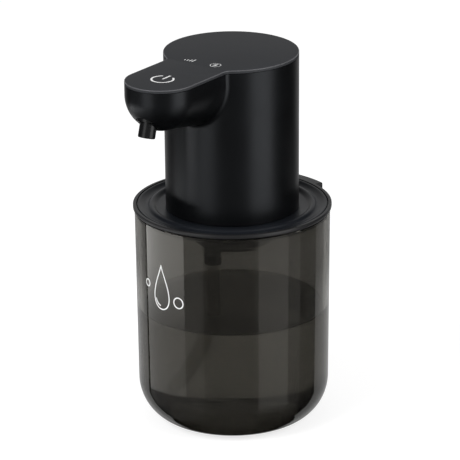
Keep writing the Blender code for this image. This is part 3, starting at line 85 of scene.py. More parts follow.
# Collar ring and hook
RIM_TOP = collar_high.z
RIM_OVERHANG = 0.0006
RIM_RADIUS = BOTTLE_RADIUS + RIM_OVERHANG
RIM_WIDTH = 0.0014
RIM_SEAT_DEPTH = 0.00115
RIM_CHAMFER = 0.00045
RIM_ROUND = 0.00022
COLLAR_WEB = 0.0011
COLLAR_STEP_WALL = 0.0008
COLLAR_SKIRT_WALL = 0.0014
COLLAR_SKIRT_DEPTH = 0.0082
SKIRT_ROUND = 0.0002
HOOK_REACH = 0.0037
HOOK_WALL = 0.0014
HOOK_PLATE = 0.0015
HOOK_DROP = 0.0080
HOOK_STEP = 0.0001
HOOK_ROUND = 0.0002
HOOK_HALF_ANGLE = math.radians(22.0)

# Lid
LID_EDGE_GAP = 0.0004
LID_EDGE_ROUND = 0.00015
LID_EDGE_BAND = 0.0007
LID_SINK = 0.0001
LID_VALLEY = 0.0012
LID_PLATE = 0.0021
LID_SKIRT_DEPTH = 0.0073
LID_SKIRT_WALL = 0.0022
RIDGE_RADIUS = 0.0325
RIDGE_HALF_WIDTH = 0.0013
RIDGE_HEIGHT = 0.00125
RIDGE_FOOT = 0.0024
RIDGE_FOOT_STEPS = 12
RIDGE_END_DEGREES = 30
CHANNEL_DIP = 0.0018
CHANNEL_OFFSET = 0.0010
PUMP_HOLE = 0.0171

# Head; an overcut is how far a cutter runs past what it cuts
HEAD_RADIUS = 0.0270
HEAD_DRAFT = 0.0002
HEAD_HEIGHT = 0.0645
HEAD_WALL = 0.0020
HEAD_OVERCUT = 0.002
SPOUT_HALF_WIDTH = 0.0143
SPOUT_REACH = 0.0608
SPOUT_SIDE = 0.0058
SPOUT_DROP = 0.0035
HEAD_FILLET = 0.0013
FILLET_CROWDING = 1.5
FILLET_START_SHARE = 0.88
FILLET_END_SHARE = 1.22
LEAST_WIDTH_SHARE = 0.25
HALVINGS = 40
PANEL_THICKNESS = 0.0012
PANEL_SEAM = 0.0002
PANEL_BEVEL = 0.00030
# Span of upward facing for the bevel faces that get the painted highlight
PAINTED_HIGHLIGHT_FACING = (0.1, 0.99)

# Steps down the head (round, drop, fillet), and rays round half of it (spout, fillet, body)
SHELL_GRID = ((26, 10, 8), (44, 18, 66))
CAVITY_GRID = ((8, 3, 3), (10, 4, 18))
WINDOW_GRID = ((16, 10, 4), (30, 8, 12))
PANEL_RAYS = (60, 24, 80)

# Nozzle, valve and sensor window
NOZZLE_RADIUS = 0.0034
NOZZLE_LENGTH = 0.0041
NOZZLE_ROUND = 0.0004
NOZZLE_TILT = math.radians(16)
NOZZLE_FROM_TIP = 0.0054
NOZZLE_FLANGE_RADIUS = 0.0047
NOZZLE_FLANGE = 0.0012
NOZZLE_MOUTH = 0.0023
NOZZLE_BARREL_RADIUS = 0.0036
NOZZLE_BARREL = 0.0046
NOZZLE_CAP = 0.0008
NOZZLE_BORE = 0.0013
VALVE_RADIUS = 0.0021
VALVE_LENGTH = 0.0030
VALVE_RECESS = 0.0004
VALVE_SLIT = 0.0003
VALVE_DOME_SHARE = 0.3
WINDOW_LENGTH = 0.0100
WINDOW_WIDTH = 0.0060
WINDOW_THICKNESS = 0.0012
WINDOW_RECESS = 0.00015
WINDOW_FROM_AXIS = 0.0345

# Pump and dip tube
PUMP_RADIUS = 0.0167
PUMP_ROUND = 0.0030
PUMP_OVERCUT = 0.001
INLET_FROM_AXIS = 0.0135
INLET_RADIUS = 0.00345
INLET_LENGTH = 0.0060
GEAR_OFFSET = 0.0050
POCKET_RADIUS = 0.00592
POCKET_GAP = 0.00015
DUCT_RADIUS = 0.0013
DUCT_DEPTH = 0.0015
SEAT_DEPTH = 0.0020
PIN_SEAT = 0.0014
SHAFT_SEAT = 0.0017
TUBE_RADIUS = 0.00265
TUBE_BORE = 0.0018
TUBE_FIT = 0.0002
# Corners of the tube's path: X and Y from the inlet in tube radii, height as a share of PUMP_BOTTOM
TUBE_SHARES = (
    (0.0, 0.0, 0.80), (0.0, 0.0, 0.62), (-0.9, -0.6, 0.46), (-2.3, -1.7, 0.32), (-4.2, -3.1, 0.20),
)

# Charging port and its cover
PORT_CENTRE = 0.10305
PORT_WIDTH = 0.0098
PORT_TALL = 0.0041
FLAP_WIDTH = 0.0140
FLAP_RISE = 0.0036
FLAP_HEIGHT = 0.0088
FLAP_THICKNESS = 0.00085
FLAP_GAP = 0.00025
FLAP_ROUND = 0.00035
FLAP_PLUG = 0.0008
HINGE_RADIUS = 0.00055
HINGE_LAP = 0.0004
HINGE_WIDTH = 0.0060

# Radii and heights that follow
LIP_BORE = BOTTLE_RADIUS - LIP_WALL
LIP_STEP = BOTTLE_HEIGHT - LIP_DEPTH
BOTTLE_BORE = BOTTLE_RADIUS - BOTTLE_WALL
RIM_BORE = RIM_RADIUS - RIM_WIDTH
RIM_SEAT = RIM_TOP - RIM_SEAT_DEPTH
WEB_RADIUS = LIP_BORE - FIT
WEB_BOTTOM = LIP_STEP + FIT
WEB_TOP = WEB_BOTTOM + COLLAR_WEB
STEP_BORE = WEB_RADIUS - COLLAR_STEP_WALL
COLLAR_SKIRT_RADIUS = BOTTLE_BORE - FIT
COLLAR_BORE = COLLAR_SKIRT_RADIUS - COLLAR_SKIRT_WALL
LID_RADIUS = RIM_BORE - LID_EDGE_GAP
LID_SKIRT_RADIUS = COLLAR_BORE - FIT
LID_TOP = RIM_TOP - LID_SINK
VALLEY_TOP = LID_TOP - LID_VALLEY
HEAD_BOTTOM = shell_low.z
HEAD_TOP = HEAD_BOTTOM + HEAD_HEIGHT
HEAD_BACK = HEAD_RADIUS - HEAD_DRAFT
SPOUT_CENTRE = SPOUT_REACH - SPOUT_HALF_WIDTH
SHELL_TOP_DEPTH = PANEL_THICKNESS + PANEL_SEAM
VALVE_BOTTOM = VALVE_RECESS - NOZZLE_LENGTH
PUMP_BOTTOM = pump_low.z + INLET_LENGTH
FLAP_TOP = PORT_CENTRE + FLAP_RISE
FLAP_BOTTOM = FLAP_TOP - FLAP_HEIGHT

# Prints on the panel
PRINT_LIFT = 0.00001
POWER_FROM_AXIS = 0.0456
POWER_RADIUS = 0.0043
POWER_LINE = 0.00075
POWER_GAP_DEGREES = 34
POWER_STEM = (0.02, 1.22)
SYMBOLS_FROM_AXIS = 0.0193
LEVEL_COUNT = 4
LEVEL_SIDE = 0.0060
LEVEL_PITCH = 0.0012
LEVEL_LINE = 0.00042
LEVEL_SHORT = 0.0009
LEVEL_STEP = 0.00068
CHARGE_SIDE = 0.0063
CHARGE_RADIUS = 0.0021
CHARGE_LINE = 0.00022
CHARGE_BOLT = ((0.25, 0.75), (-0.45, -0.10), (-0.05, -0.10), (-0.25, -0.75), (0.45, 0.10), (0.05, 0.10))

# Mark on the bottle; its shares are of the drop's size
MARK_TURN = math.radians(11)
MARK_HEIGHT = 0.0630
MARK_SIZE = 0.0110
MARK_LINE = 0.0005
DROP_STEPS = 72
DROP_WIDTH = 0.55
DROP_CENTRE = 0.15
DROP_RISE = 0.85
DROP_TAPER = 1.6
BUBBLES = (((0.80, -0.28), 0.20), ((-0.82, 0.10), 0.13))
GLINT_HEIGHT = -0.28
GLINT_RADIUS = 0.30
GLINT_DEGREES = (190, 260)

# Camera, fitted to the photograph
CAMERA_DISTANCE = 1.400
CAMERA_AZIMUTH = math.radians(35.7)
CAMERA_ELEVATION = math.radians(19.95)
CAMERA_ROLL = math.radians(-0.47)
CAMERA_AIM_HEIGHT = 0.07891
CAMERA_AIM_SIDE = -0.00102
CAMERA_LENS = 271.5
CAMERA_SENSOR = 36.0
CAMERA_NEAR = 0.01
CAMERA_FAR = 20.0

# World: the levels that rays see. A FACING span is the cosine to the way that the camera looks, and a
# RISE span is the height of the direction.
WORLD_LEVEL = 0.48
THROUGH_LEVEL = 0.80
FRONT_GLOSS = 0.12
SIDE_GLOSS = 0.008
FRONT_FACING = (-0.9, 0.1)
BACK_GLOSS = 0.45
BACK_FACING = (0.62, 0.95)
UPPER_BACK_SHARE = 0.95
UPPER_RISE = (-0.1, 0.3)
GROUND_SHARE = 0.1
GROUND_RISE = (-0.75, -0.42)

# Floor
FLOOR_SIZE = 4.0
FLOOR_THICKNESS = 0.01
FLOOR_GREY = 0.85
FLOOR_SHOWN_GREY = 0.40
FLOOR_SHOWN_GLOW = 0.73

# Lamps: name, turn from the camera in degrees, height, power
LAMP_DISTANCE = 0.9
LAMP_SIZE = 0.6
LAMP_AIM_HEIGHT = 0.09
LAMPS = (("key", -50, 0.75, 9.0), ("fill", 60, 0.65, 6.0))

# Cards that reflections see: name, first and last turn from the camera in degrees, bottom and top,
# distance, bottom and top of the fade, level below and above it
CARD_STEPS = 16
CARDS = (
    ("left_card", (-55, -28), (-0.035, 0.45), 0.40, (-0.04, 0.02), (1.15, 1.0)),
    ("right_card", (32, 70), (-0.035, 0.45), 0.40, (-0.04, 0.02), (1.35, 1.4)),
    ("left_low_card", (-118, -57.5), (-0.148, -0.050), 0.40, (-0.115, -0.065), (0.82, 2.2)),
    ("left_base_card", (-118, -40), (-0.60, -0.148), 0.40, (-0.35, -0.148), (0.10, 0.25)),
    ("left_wide_card", (-60, -34), (-0.30, -0.047), 0.45, (-0.20, -0.10), (0.30, 0.40)),
    ("right_low_card", (29, 66), (-0.30, -0.047), 0.40, (-0.24, -0.10), (0.20, 0.74)),
    ("right_wide_card", (25, 84), (-0.30, -0.047), 0.45, (-0.20, -0.10), (0.10, 0.28)),
    ("left_edge_card", (-160, -122), (-0.50, -0.060), 0.42, (-0.11, -0.08), (0.55, 0.25)),
    ("right_edge_card", (112, 160), (-0.50, -0.060), 0.42, (-0.11, -0.08), (0.55, 0.25)),
)

# Looks for the record's slots and for the panel's edge with its painted highlight, the soap, the painted
# sheen on the soap's top, the clear skirts and the prints. Grain, relief and cloud are lengths, shade and
# gloss say how far colour and roughness wander, stretch scales the pattern, and a name with a capital is
# a socket of the shader.
NOISE_SPAN = (0.3, 0.7)
LOOKS = {
    "smoky_clear": dict(
        colour=(0.185, 0.179, 0.164), roughness=0.02, grain=0.004, relief=1e-6, cloud=0.03,
        shade=0.03, gloss=0.01, Transmission_Weight=1.0, IOR=1.49, Specular_Tint=(1.0, 0.97, 0.90, 1.0)),
    "collar_plastic": dict(colour=(0.013, 0.013, 0.014), roughness=0.34, Specular_IOR_Level=0.5),
    "lid_plastic": dict(colour=(0.0080, 0.0095, 0.0125), roughness=0.36, Specular_IOR_Level=0.55),
    "black_rubber": dict(colour=(0.018, 0.018, 0.018), roughness=0.72, grain=0.0004, relief=1e-5),
    "shell_plastic": dict(
        colour=(0.0022, 0.0024, 0.0028), roughness=0.34, Specular_IOR_Level=0.45,
        Specular_Tint=(0.90, 0.94, 1.0, 1.0)),
    "panel_plastic": dict(
        colour=(0.0270, 0.0283, 0.0315), roughness=0.55, grain=0.0003, relief=6e-6,
        Specular_IOR_Level=0.3),
    # Painted highlight: the panel's bevel is a lighter copy of the panel plastic, for the light that it
    # catches.
    "panel_edge_painted_highlight": dict(colour=(0.088, 0.089, 0.095), roughness=0.34),
    "nozzle_plastic": dict(colour=(0.006, 0.006, 0.0065), roughness=0.26),
    "dark_window": dict(
        colour=(0.003, 0.002, 0.003), roughness=0.06, grain=0.001, relief=1e-6, gloss=0.02),
    "circuit_board": dict(
        colour=(0.02, 0.12, 0.05), roughness=0.45, grain=0.0006, relief=2e-5, shade=0.3),
    "clear_lens": dict(colour=(0.75, 0.80, 0.88), roughness=0.08, Transmission_Weight=0.8, IOR=1.5),
    "dark_lens": dict(colour=(0.02, 0.02, 0.035), roughness=0.08, Transmission_Weight=0.4, IOR=1.5),
    "clear_silicone": dict(colour=(0.78, 0.79, 0.80), roughness=0.35, Transmission_Weight=0.6, IOR=1.41),
    "copper_pad": dict(colour=(0.72, 0.36, 0.20), roughness=0.32, shade=0.15, Metallic=1.0),
    "milky_clear": dict(colour=(0.85, 0.85, 0.85), roughness=0.4, Transmission_Weight=0.3, IOR=1.49),
    "battery_wrap": dict(colour=(0.04, 0.13, 0.40), roughness=0.30, grain=0.0015, relief=1e-5),
    "inner_plastic": dict(colour=(0.012, 0.012, 0.013), roughness=0.45, grain=0.0003, relief=8e-6),
    "plated_steel": dict(
        colour=(0.62, 0.62, 0.62), roughness=0.28, grain=0.0004, relief=3e-6, shade=0.05,
        stretch=(1, 1, 0.1), Metallic=1.0),
    "white_nylon": dict(colour=(0.80, 0.80, 0.78), roughness=0.5),
    "natural_nylon": dict(colour=(0.78, 0.75, 0.66), roughness=0.45, grain=0.0005, relief=1e-5),
    "smoky_tube": dict(
        colour=(0.70, 0.68, 0.63), roughness=0.10, grain=0.002, relief=3e-6,
        Transmission_Weight=0.98, IOR=1.15),
    "socket_steel": dict(
        colour=(0.60, 0.60, 0.62), roughness=0.25, grain=0.0004, relief=3e-6, shade=0.05,
        stretch=(1, 0.1, 1), Metallic=1.0),
    "cover_rubber": dict(colour=(0.010, 0.010, 0.011), roughness=0.5, grain=0.0003, relief=1e-5),
    "soap": dict(
        colour=(0.97, 0.96, 0.92), roughness=0.01, grain=0.006, relief=1e-6, cloud=0.02, shade=0.02,
        gloss=0.01, Transmission_Weight=1.0, IOR=1.35),
    # Painted sheen: the soap's top is a grey, partly opaque copy of the clear soap, for the light on its
    # surface.
    "soap_top_painted_sheen": dict(
        colour=(0.46, 0.45, 0.41), roughness=0.06, grain=0.006, relief=2e-6, cloud=0.02, shade=0.04,
        gloss=0.02, Transmission_Weight=0.45, IOR=1.35),
    "clear_insert": dict(
        colour=(0.98, 0.98, 0.97), roughness=0.02, grain=0.004, relief=1e-6, cloud=0.02, shade=0.01,
        gloss=0.01, Transmission_Weight=1.0, IOR=1.01),
    "print": dict(
        colour=(0.78, 0.78, 0.78), roughness=0.45, grain=0.0002, relief=3e-6, cloud=0.004,
        shade=0.04),
}


def shade_smooth(mesh, sharp):
    """Shades a mesh smooth and leaves the edges over an angle in degrees crisp."""
    mesh.shade_smooth()
    mesh.set_sharp_from_angle(angle=math.radians(sharp))


def add_object(name, data):
    """A new object in the scene."""
    item = bpy.data.objects.new(name, data)
    bpy.context.scene.collection.objects.link(item)
    return item


def mesh_object(name, bm, sharp=SHARP_DEGREES):
    """Turns a bmesh into a smooth shaded object with its faces pointing out."""
    bmesh.ops.recalc_face_normals(bm, faces=bm.faces)
    mesh = bpy.data.meshes.new(name)
    bm.to_mesh(mesh)
    bm.free()
    shade_smooth(mesh, sharp)
    return add_object(name, mesh)


def apply_modifiers(item):
    """Replaces the mesh by its evaluated form."""
    bpy.context.view_layer.update()
    graph = bpy.context.evaluated_depsgraph_get()
    mesh = bpy.data.meshes.new_from_object(item.evaluated_get(graph))
    item.modifiers.clear()
    item.data = mesh
    shade_smooth(mesh, SHARP_DEGREES)


def carve(item, form, operation="DIFFERENCE"):
    """Cuts a form from a piece, joins it on or keeps what they share."""
    cutter = mesh_object("cutter", form)
    modifier = item.modifiers.new("carve", "BOOLEAN")
    modifier.operation = operation
    modifier.solver = "EXACT"
    modifier.object = cutter
    apply_modifiers(item)
    bpy.data.objects.remove(cutter, do_unlink=True)


def paint(item, material):
    """Gives an object one material alone."""
    item.data.materials.clear()
    item.data.materials.append(material)


def paint_faces(item, material, least, most=math.inf):
    """Gives a second material to the faces whose normals point up by this much, as for the painted
    highlight on the panel's bevel and the painted sheen on the soap's top.
    """
    item.data.materials.append(material)
    for face in item.data.polygons:
        if least < face.normal.z < most:
            face.material_index = 1


def dress(item, material, body, slot, *nodes):
    """Gives a piece its material, its body and the solids that it stands for."""
    paint(item, material)
    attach(item, body)
    if nodes:
        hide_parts(*nodes)


def turned(points, steps, start=0.0, end=2 * math.pi, closed=True):
    """Turns an outline of (radius, height) points about Z."""
    bm = bmesh.new()
    whole = end - start >= 2 * math.pi
    columns = []
    for step in range(steps if whole else steps + 1):
        angle = start + (end - start) * step / steps
        columns.append([bm.verts.new((r * math.cos(angle), r * math.sin(angle), z)) for r, z in points])
    pairs = list(zip(columns, columns[1:]))
    if whole:
        pairs.append((columns[-1], columns[0]))
    else:
        bm.faces.new(columns[0])
        bm.faces.new(columns[-1])
    if not closed:
        bm.faces.new([column[0] for column in columns])
        bm.faces.new([column[-1] for column in columns])
    last = len(points) if closed else len(points) - 1
    for left, right in pairs:
        for index in range(last):
            after = (index + 1) % len(points)
            bm.faces.new((left[index], left[after], right[after], right[index]))
    return bm


def turned_behind(points, half_angle, steps):
    """Turns an outline through the part turn that is centred behind the object."""
    return turned(points, steps, math.pi / 2 - half_angle, math.pi / 2 + half_angle)


def drum(radius, bottom, top, steps, centre=(0, 0)):
    """An upright solid cylinder."""
    phase = math.pi / steps
    bm = turned([(radius, bottom), (radius, top)], steps, phase, phase + 2 * math.pi, closed=False)
    bmesh.ops.translate(bm, vec=(*centre, 0), verts=bm.verts)
    return bm


def block(low, high):
    """A box from its lowest to its highest corner."""
    bm = bmesh.new()
    bmesh.ops.create_cube(bm, size=1.0)
    bmesh.ops.scale(bm, vec=Vector(high) - Vector(low), verts=bm.verts)
    bmesh.ops.translate(bm, vec=(Vector(low) + Vector(high)) / 2, verts=bm.verts)
    return bm


def add_walls(bm, rows):
    """Fills the quads between rings of equal count."""
    count = len(rows[0])
    for lower, upper in zip(rows, rows[1:]):
        for index in range(count):
            after = (index + 1) % count
            bm.faces.new((lower[index], lower[after], upper[after], upper[index]))


def stack(rings):
    """A solid whose side runs through rings of equal count."""
    bm = bmesh.new()
    rows = [[bm.verts.new(spot) for spot in ring] for ring in rings]
    add_walls(bm, rows)
    bm.faces.new(rows[0])
    bm.faces.new(rows[-1])
    return bm


def arc(centre, radius, first, last, count):
    """Points along an arc, angles in degrees."""
    points = []
    for step in range(count + 1):
        angle = math.radians(first + (last - first) * step / count)
        points.append((centre[0] + radius * math.cos(angle), centre[1] + radius * math.sin(angle)))
    return points


def circle(centre, radius, count=48):
    """Points round a circle."""
    return arc(centre, radius, 0, 360, count)[:-1]


def corner_curve(flat, width, bottom, height):
    """Points of a quarter ellipse from a level floor to an upright wall."""
    turns = [math.pi / 2 * step / CORNER_STEPS for step in range(CORNER_STEPS + 1)]
    return [(flat + width * math.sin(turn), bottom + height * (1 - math.cos(turn))) for turn in turns]


def curve_through(start, control, end, count):
    """Points of a quadratic curve from start to end."""
    points = []
    for step in range(count + 1):
        t = step / count
        weights = ((1 - t) ** 2, 2 * t * (1 - t), t ** 2)
        points.append(tuple(sum(w * p[axis] for w, p in zip(weights, (start, control, end)))
                            for axis in (0, 1)))
    return points


def rounded(points, radius):
    """Rounds each corner that isn't nearly flat, and takes only part of a short side for it."""
    result = []
    for index, corner in enumerate(points):
        middle = Vector(corner)
        to_before = Vector(points[index - 1]) - middle
        to_after = Vector(points[(index + 1) % len(points)]) - middle
        if to_before.angle(to_after) > FLAT_CORNER:
            result.append(tuple(middle))
            continue
        reach = min(radius, to_before.length / ROUND_SIDE_PARTS, to_after.length / ROUND_SIDE_PARTS)
        start = middle + to_before.normalized() * reach
        end = middle + to_after.normalized() * reach
        result += curve_through(start, middle, end, count=3)
    return result


def add_node(tree, kind, **settings):
    """A new node with its settings."""
    node = tree.nodes.new(kind)
    for name, value in settings.items():
        setattr(node, name, value)
    return node


def math_node(tree, operation, *values):
    """The result of a Math node on numbers and other nodes' outputs."""
    node = add_node(tree, "ShaderNodeMath", operation=operation)
    for socket, value in zip(node.inputs, values):
        if isinstance(value, bpy.types.NodeSocket):
            tree.links.new(value, socket)
        else:
            socket.default_value = value
    return node.outputs[0]


def ramp(tree, value, span, low, high, ends="SMOOTHSTEP"):
    """Maps a span of a value to a range, with soft ends unless told otherwise."""
    node = add_node(tree, "ShaderNodeMapRange", interpolation_type=ends)
    for name, number in zip(("From Min", "From Max", "To Min", "To Max"), (*span, low, high)):
        node.inputs[name].default_value = number
    tree.links.new(value, node.inputs["Value"])
    return node.outputs["Result"]


def noise(tree, coordinates, scale, detail):
    """A noise value at the coordinates."""
    node = add_node(tree, "ShaderNodeTexNoise")
    node.inputs["Scale"].default_value = scale
    node.inputs["Detail"].default_value = detail
    tree.links.new(coordinates, node.inputs["Vector"])
    return node.outputs["Fac"]


def surface(name, colour, roughness, grain=0.00025, relief=4e-6, cloud=0.014, shade=0.10,
            gloss=0.05, stretch=(1, 1, 1), **fixed):
    """A Principled material with a slow change of colour and gloss and a fine moulded grain."""
    material = bpy.data.materials.new(name)
    material.use_nodes = True
    tree = material.node_tree
    shader = tree.nodes["Principled BSDF"]
    for socket, value in fixed.items():
        shader.inputs[socket.replace("_", " ")].default_value = value
    mapping = add_node(tree, "ShaderNodeMapping")
    mapping.inputs["Scale"].default_value = stretch
    tree.links.new(add_node(tree, "ShaderNodeTexCoord").outputs["Object"], mapping.inputs["Vector"])
    slow = noise(tree, mapping.outputs["Vector"], 1 / cloud, detail=3.0)
    fine = noise(tree, mapping.outputs["Vector"], 1 / grain, detail=2.0)
    mix = add_node(tree, "ShaderNodeMix", data_type="RGBA")
    mix.inputs["A"].default_value = (*[c * (1 - shade) for c in colour], 1.0)
    mix.inputs["B"].default_value = (*[min(c * (1 + shade), 1.0) for c in colour], 1.0)
    tree.links.new(ramp(tree, slow, NOISE_SPAN, 0.0, 1.0, "LINEAR"), mix.inputs["Factor"])
    tree.links.new(mix.outputs["Result"], shader.inputs["Base Color"])
    both = math_node(tree, "MULTIPLY_ADD", slow, 0.5, math_node(tree, "MULTIPLY", fine, 0.5))
    wander = ramp(tree, both, NOISE_SPAN, max(roughness - gloss, 0.0), roughness + gloss, "LINEAR")
    tree.links.new(wander, shader.inputs["Roughness"])
    bump = add_node(tree, "ShaderNodeBump")
    bump.inputs["Strength"].default_value = 1.0
    bump.inputs["Distance"].default_value = relief
    tree.links.new(fine, bump.inputs["Height"])
    tree.links.new(bump.outputs["Normal"], shader.inputs["Normal"])
    return material


def dress_frame(looks):
    """Gives each solid the material of its slot, and the lid's seal a clear one."""
    for part in frame["record"]["subparts"]:
        paint(frame["nodes"][part["node"]], looks[part["material_slot"]])
    paint(frame["nodes"]["lid_gasket"], looks["clear_insert"])


def bottle_inside():
    """The outline of the bottle's inside, from its floor up to the wall."""
    width = CORNER_WIDTH - BOTTLE_WALL / 2
    flat = BOTTLE_RADIUS - BOTTLE_DRAFT - BOTTLE_WALL - width
    return corner_curve(flat, width, BOTTLE_FLOOR, CORNER_HEIGHT - BOTTLE_FLOOR)


def make_bottle(looks):
    """The clear bottle with its thick floor."""
    outline = corner_curve(BOTTLE_RADIUS - BOTTLE_DRAFT - CORNER_WIDTH, CORNER_WIDTH, 0.0, CORNER_HEIGHT)
    outline += [(BOTTLE_RADIUS, BOTTLE_HEIGHT - LIP_ROUND), (BOTTLE_RADIUS - LIP_ROUND, BOTTLE_HEIGHT),
                (LIP_BORE + LIP_ROUND, BOTTLE_HEIGHT), (LIP_BORE, BOTTLE_HEIGHT - LIP_ROUND),
                (LIP_BORE, LIP_STEP), (BOTTLE_BORE, LIP_STEP)]
    outline += bottle_inside()[::-1]
    bottle = mesh_object("bottle_clear", turned(outline, TURN_STEPS, closed=False), sharp=40)
    dress(bottle, looks["smoky_clear"], "bottle", "smoky_clear", "bottle")


def make_soap(looks):
    """The soap in the bottle, which climbs the wall a little at its edge; its top carries a painted
    sheen.
    """
    inside = bottle_inside()
    radius, height = inside[-1]
    slope = (BOTTLE_BORE - radius) / (BOTTLE_HEIGHT - height)
    wall = radius + (SOAP_TOP - height) * slope + SOAP_OVERLAP
    wet = [(r + SOAP_OVERLAP, z - SOAP_OVERLAP) for r, z in inside]
    edge = curve_through((wall, SOAP_TOP + MENISCUS), (wall - MENISCUS / 2, SOAP_TOP),
                         (wall - 2 * MENISCUS, SOAP_TOP), count=8)
    soap = mesh_object("soap_fill", turned(wet + edge, TURN_STEPS, closed=False), sharp=60)
    dress(soap, looks["soap"], "bottle", None)
    # The top faces get a grey, partly opaque painted sheen.
    paint_faces(soap, looks["soap_top_painted_sheen"], PAINTED_SHEEN_FACING)


def hook_form():
    """The hook behind the ring: a plate that runs out and turns down."""
    root = RIM_RADIUS - RIM_WIDTH / 2
    reach = RIM_RADIUS + HOOK_REACH
    top = RIM_TOP - HOOK_STEP
    under = RIM_TOP - HOOK_PLATE
    foot = RIM_TOP - HOOK_DROP
    outline = [(root, under), (reach - HOOK_WALL, under), (reach - HOOK_WALL, foot), (reach, foot),
               (reach, top - RIM_CHAMFER), (reach - RIM_CHAMFER, top), (root, top)]
    return turned_behind(rounded(outline, HOOK_ROUND), HOOK_HALF_ANGLE, steps=24)


def make_skirt(looks, name, body, node, outer, inner, top, bottom):
    """The clear plug skirt of the collar ring or the lid."""
    outline = [(outer, top), (outer, bottom), (inner, bottom), (inner, top)]
    skirt = mesh_object(name, turned(rounded(outline, SKIRT_ROUND), TURN_STEPS))
    dress(skirt, looks["clear_insert"], body, "smoky_clear", node)


def make_collar(looks):
    """The ring on the bottle's lip, with its hook and its skirt."""
    foot = BOTTLE_HEIGHT + FIT
    outline = [
        (RIM_BORE, RIM_TOP), (RIM_RADIUS, RIM_TOP), (RIM_RADIUS, foot + RIM_CHAMFER),
        (RIM_RADIUS - RIM_CHAMFER, foot), (WEB_RADIUS, foot), (WEB_RADIUS, WEB_BOTTOM),
        (COLLAR_BORE, WEB_BOTTOM), (COLLAR_BORE, WEB_TOP), (STEP_BORE, WEB_TOP), (STEP_BORE, RIM_SEAT),
        (RIM_BORE, RIM_SEAT),
    ]
    ring = mesh_object("collar_ring_fine", turned(rounded(outline, RIM_ROUND), TURN_STEPS))
    carve(ring, hook_form(), "UNION")
    dress(ring, looks["collar_plastic"], "bottle", "collar_plastic", "collar_ring")
    make_skirt(looks, "collar_skirt_fine", "bottle", "collar_ring", COLLAR_SKIRT_RADIUS, COLLAR_BORE,
               WEB_BOTTOM + SKIN, foot - COLLAR_SKIRT_DEPTH)


def lid_top():
    """The outline of the lid's top, from the pump's hole over the ridge and the channel to the edge."""
    foot = RIDGE_RADIUS + RIDGE_HALF_WIDTH * math.cos(math.radians(RIDGE_END_DEGREES))
    start = (foot, VALLEY_TOP + RIDGE_HEIGHT * math.sin(math.radians(RIDGE_END_DEGREES)))
    low = (foot + CHANNEL_OFFSET, LID_TOP - CHANNEL_DIP)
    end = (LID_RADIUS - LID_EDGE_BAND, LID_TOP)
    outline = [(PUMP_HOLE, VALLEY_TOP)]
    for share in (step / RIDGE_FOOT_STEPS for step in range(RIDGE_FOOT_STEPS)):
        rise = (1 - math.cos(math.pi * share)) / 2
        outline.append((RIDGE_RADIUS - RIDGE_FOOT * (1 - share), VALLEY_TOP + RIDGE_HEIGHT * rise))
    outline += [(RIDGE_RADIUS + RIDGE_HALF_WIDTH * x, VALLEY_TOP + RIDGE_HEIGHT * y)
                for x, y in arc((0, 0), 1.0, 90, RIDGE_END_DEGREES, count=8)]
    return outline + curve_through(start, low, end, count=16)[1:]


def make_lid(looks):
    """The lid with its ridge, its channel and its plug skirt."""
    under = VALLEY_TOP - LID_PLATE
    step = STEP_BORE - FIT
    edge = LID_EDGE_ROUND
    outline = [(PUMP_HOLE, under)] + lid_top()
    outline += [(LID_RADIUS - edge, LID_TOP), (LID_RADIUS - edge / 4, LID_TOP - edge / 4),
                (LID_RADIUS, LID_TOP - edge), (LID_RADIUS, RIM_SEAT + FIT), (step, RIM_SEAT + FIT),
                (step, WEB_TOP + FIT), (LID_SKIRT_RADIUS, WEB_TOP + FIT), (LID_SKIRT_RADIUS, under)]
    lid = mesh_object("lid_fine", turned(outline, TURN_STEPS))
    dress(lid, looks["lid_plastic"], "head", "lid_plastic", "lid_disc")
    make_skirt(looks, "lid_skirt_fine", "head", "lid_disc", LID_SKIRT_RADIUS,
               LID_SKIRT_RADIUS - LID_SKIRT_WALL, under + SKIN, WEB_TOP + FIT - LID_SKIRT_DEPTH)


def round_union(first, second, fillet):
    """Signed distance to two joined bodies, with a concave round where they meet."""
    near = np.hypot(np.maximum(fillet - first, 0), np.maximum(fillet - second, 0))
    return np.maximum(fillet, np.minimum(first, second)) - near


def head_distance(across, forward, depth, inset):
    """Signed distance to the head without its ends: a round body joined by a hull-shaped spout."""
    body = np.hypot(across, forward) - (HEAD_RADIUS - HEAD_DRAFT * depth / HEAD_HEIGHT - inset)
    half = SPOUT_HALF_WIDTH - inset
    slope = SPOUT_DROP / (SPOUT_CENTRE - HEAD_RADIUS)
    extra = np.maximum(SPOUT_CENTRE - forward, 0) * slope
    below = max(depth - SPOUT_SIDE, 0.0)
    beyond = np.maximum(forward - SPOUT_CENTRE, 0)
    reach = (across / half) ** 2 + (beyond / half) ** 2 + (below / (half + extra)) ** 2
    spout = half * (np.sqrt(reach) - 1)
    spout = np.where(forward < 0, np.maximum(spout, half), spout)
    return round_union(body, spout, HEAD_FILLET + inset)


def head_ring(depth, inset, angles):
    """The outline of the head at a depth below its top, found along rays from the axis."""
    near = np.zeros(len(angles))
    far = np.full(len(angles), 2 * SPOUT_REACH)
    across = np.sin(angles)
    forward = np.cos(angles)
    for _ in range(HALVINGS):
        middle = (near + far) / 2
        inside = head_distance(across * middle, forward * middle, depth, inset) < 0
        near = np.where(inside, middle, near)
        far = np.where(inside, far, middle)
    return [(r * a, -r * f, HEAD_TOP - depth) for r, a, f in zip(near, across, forward)]


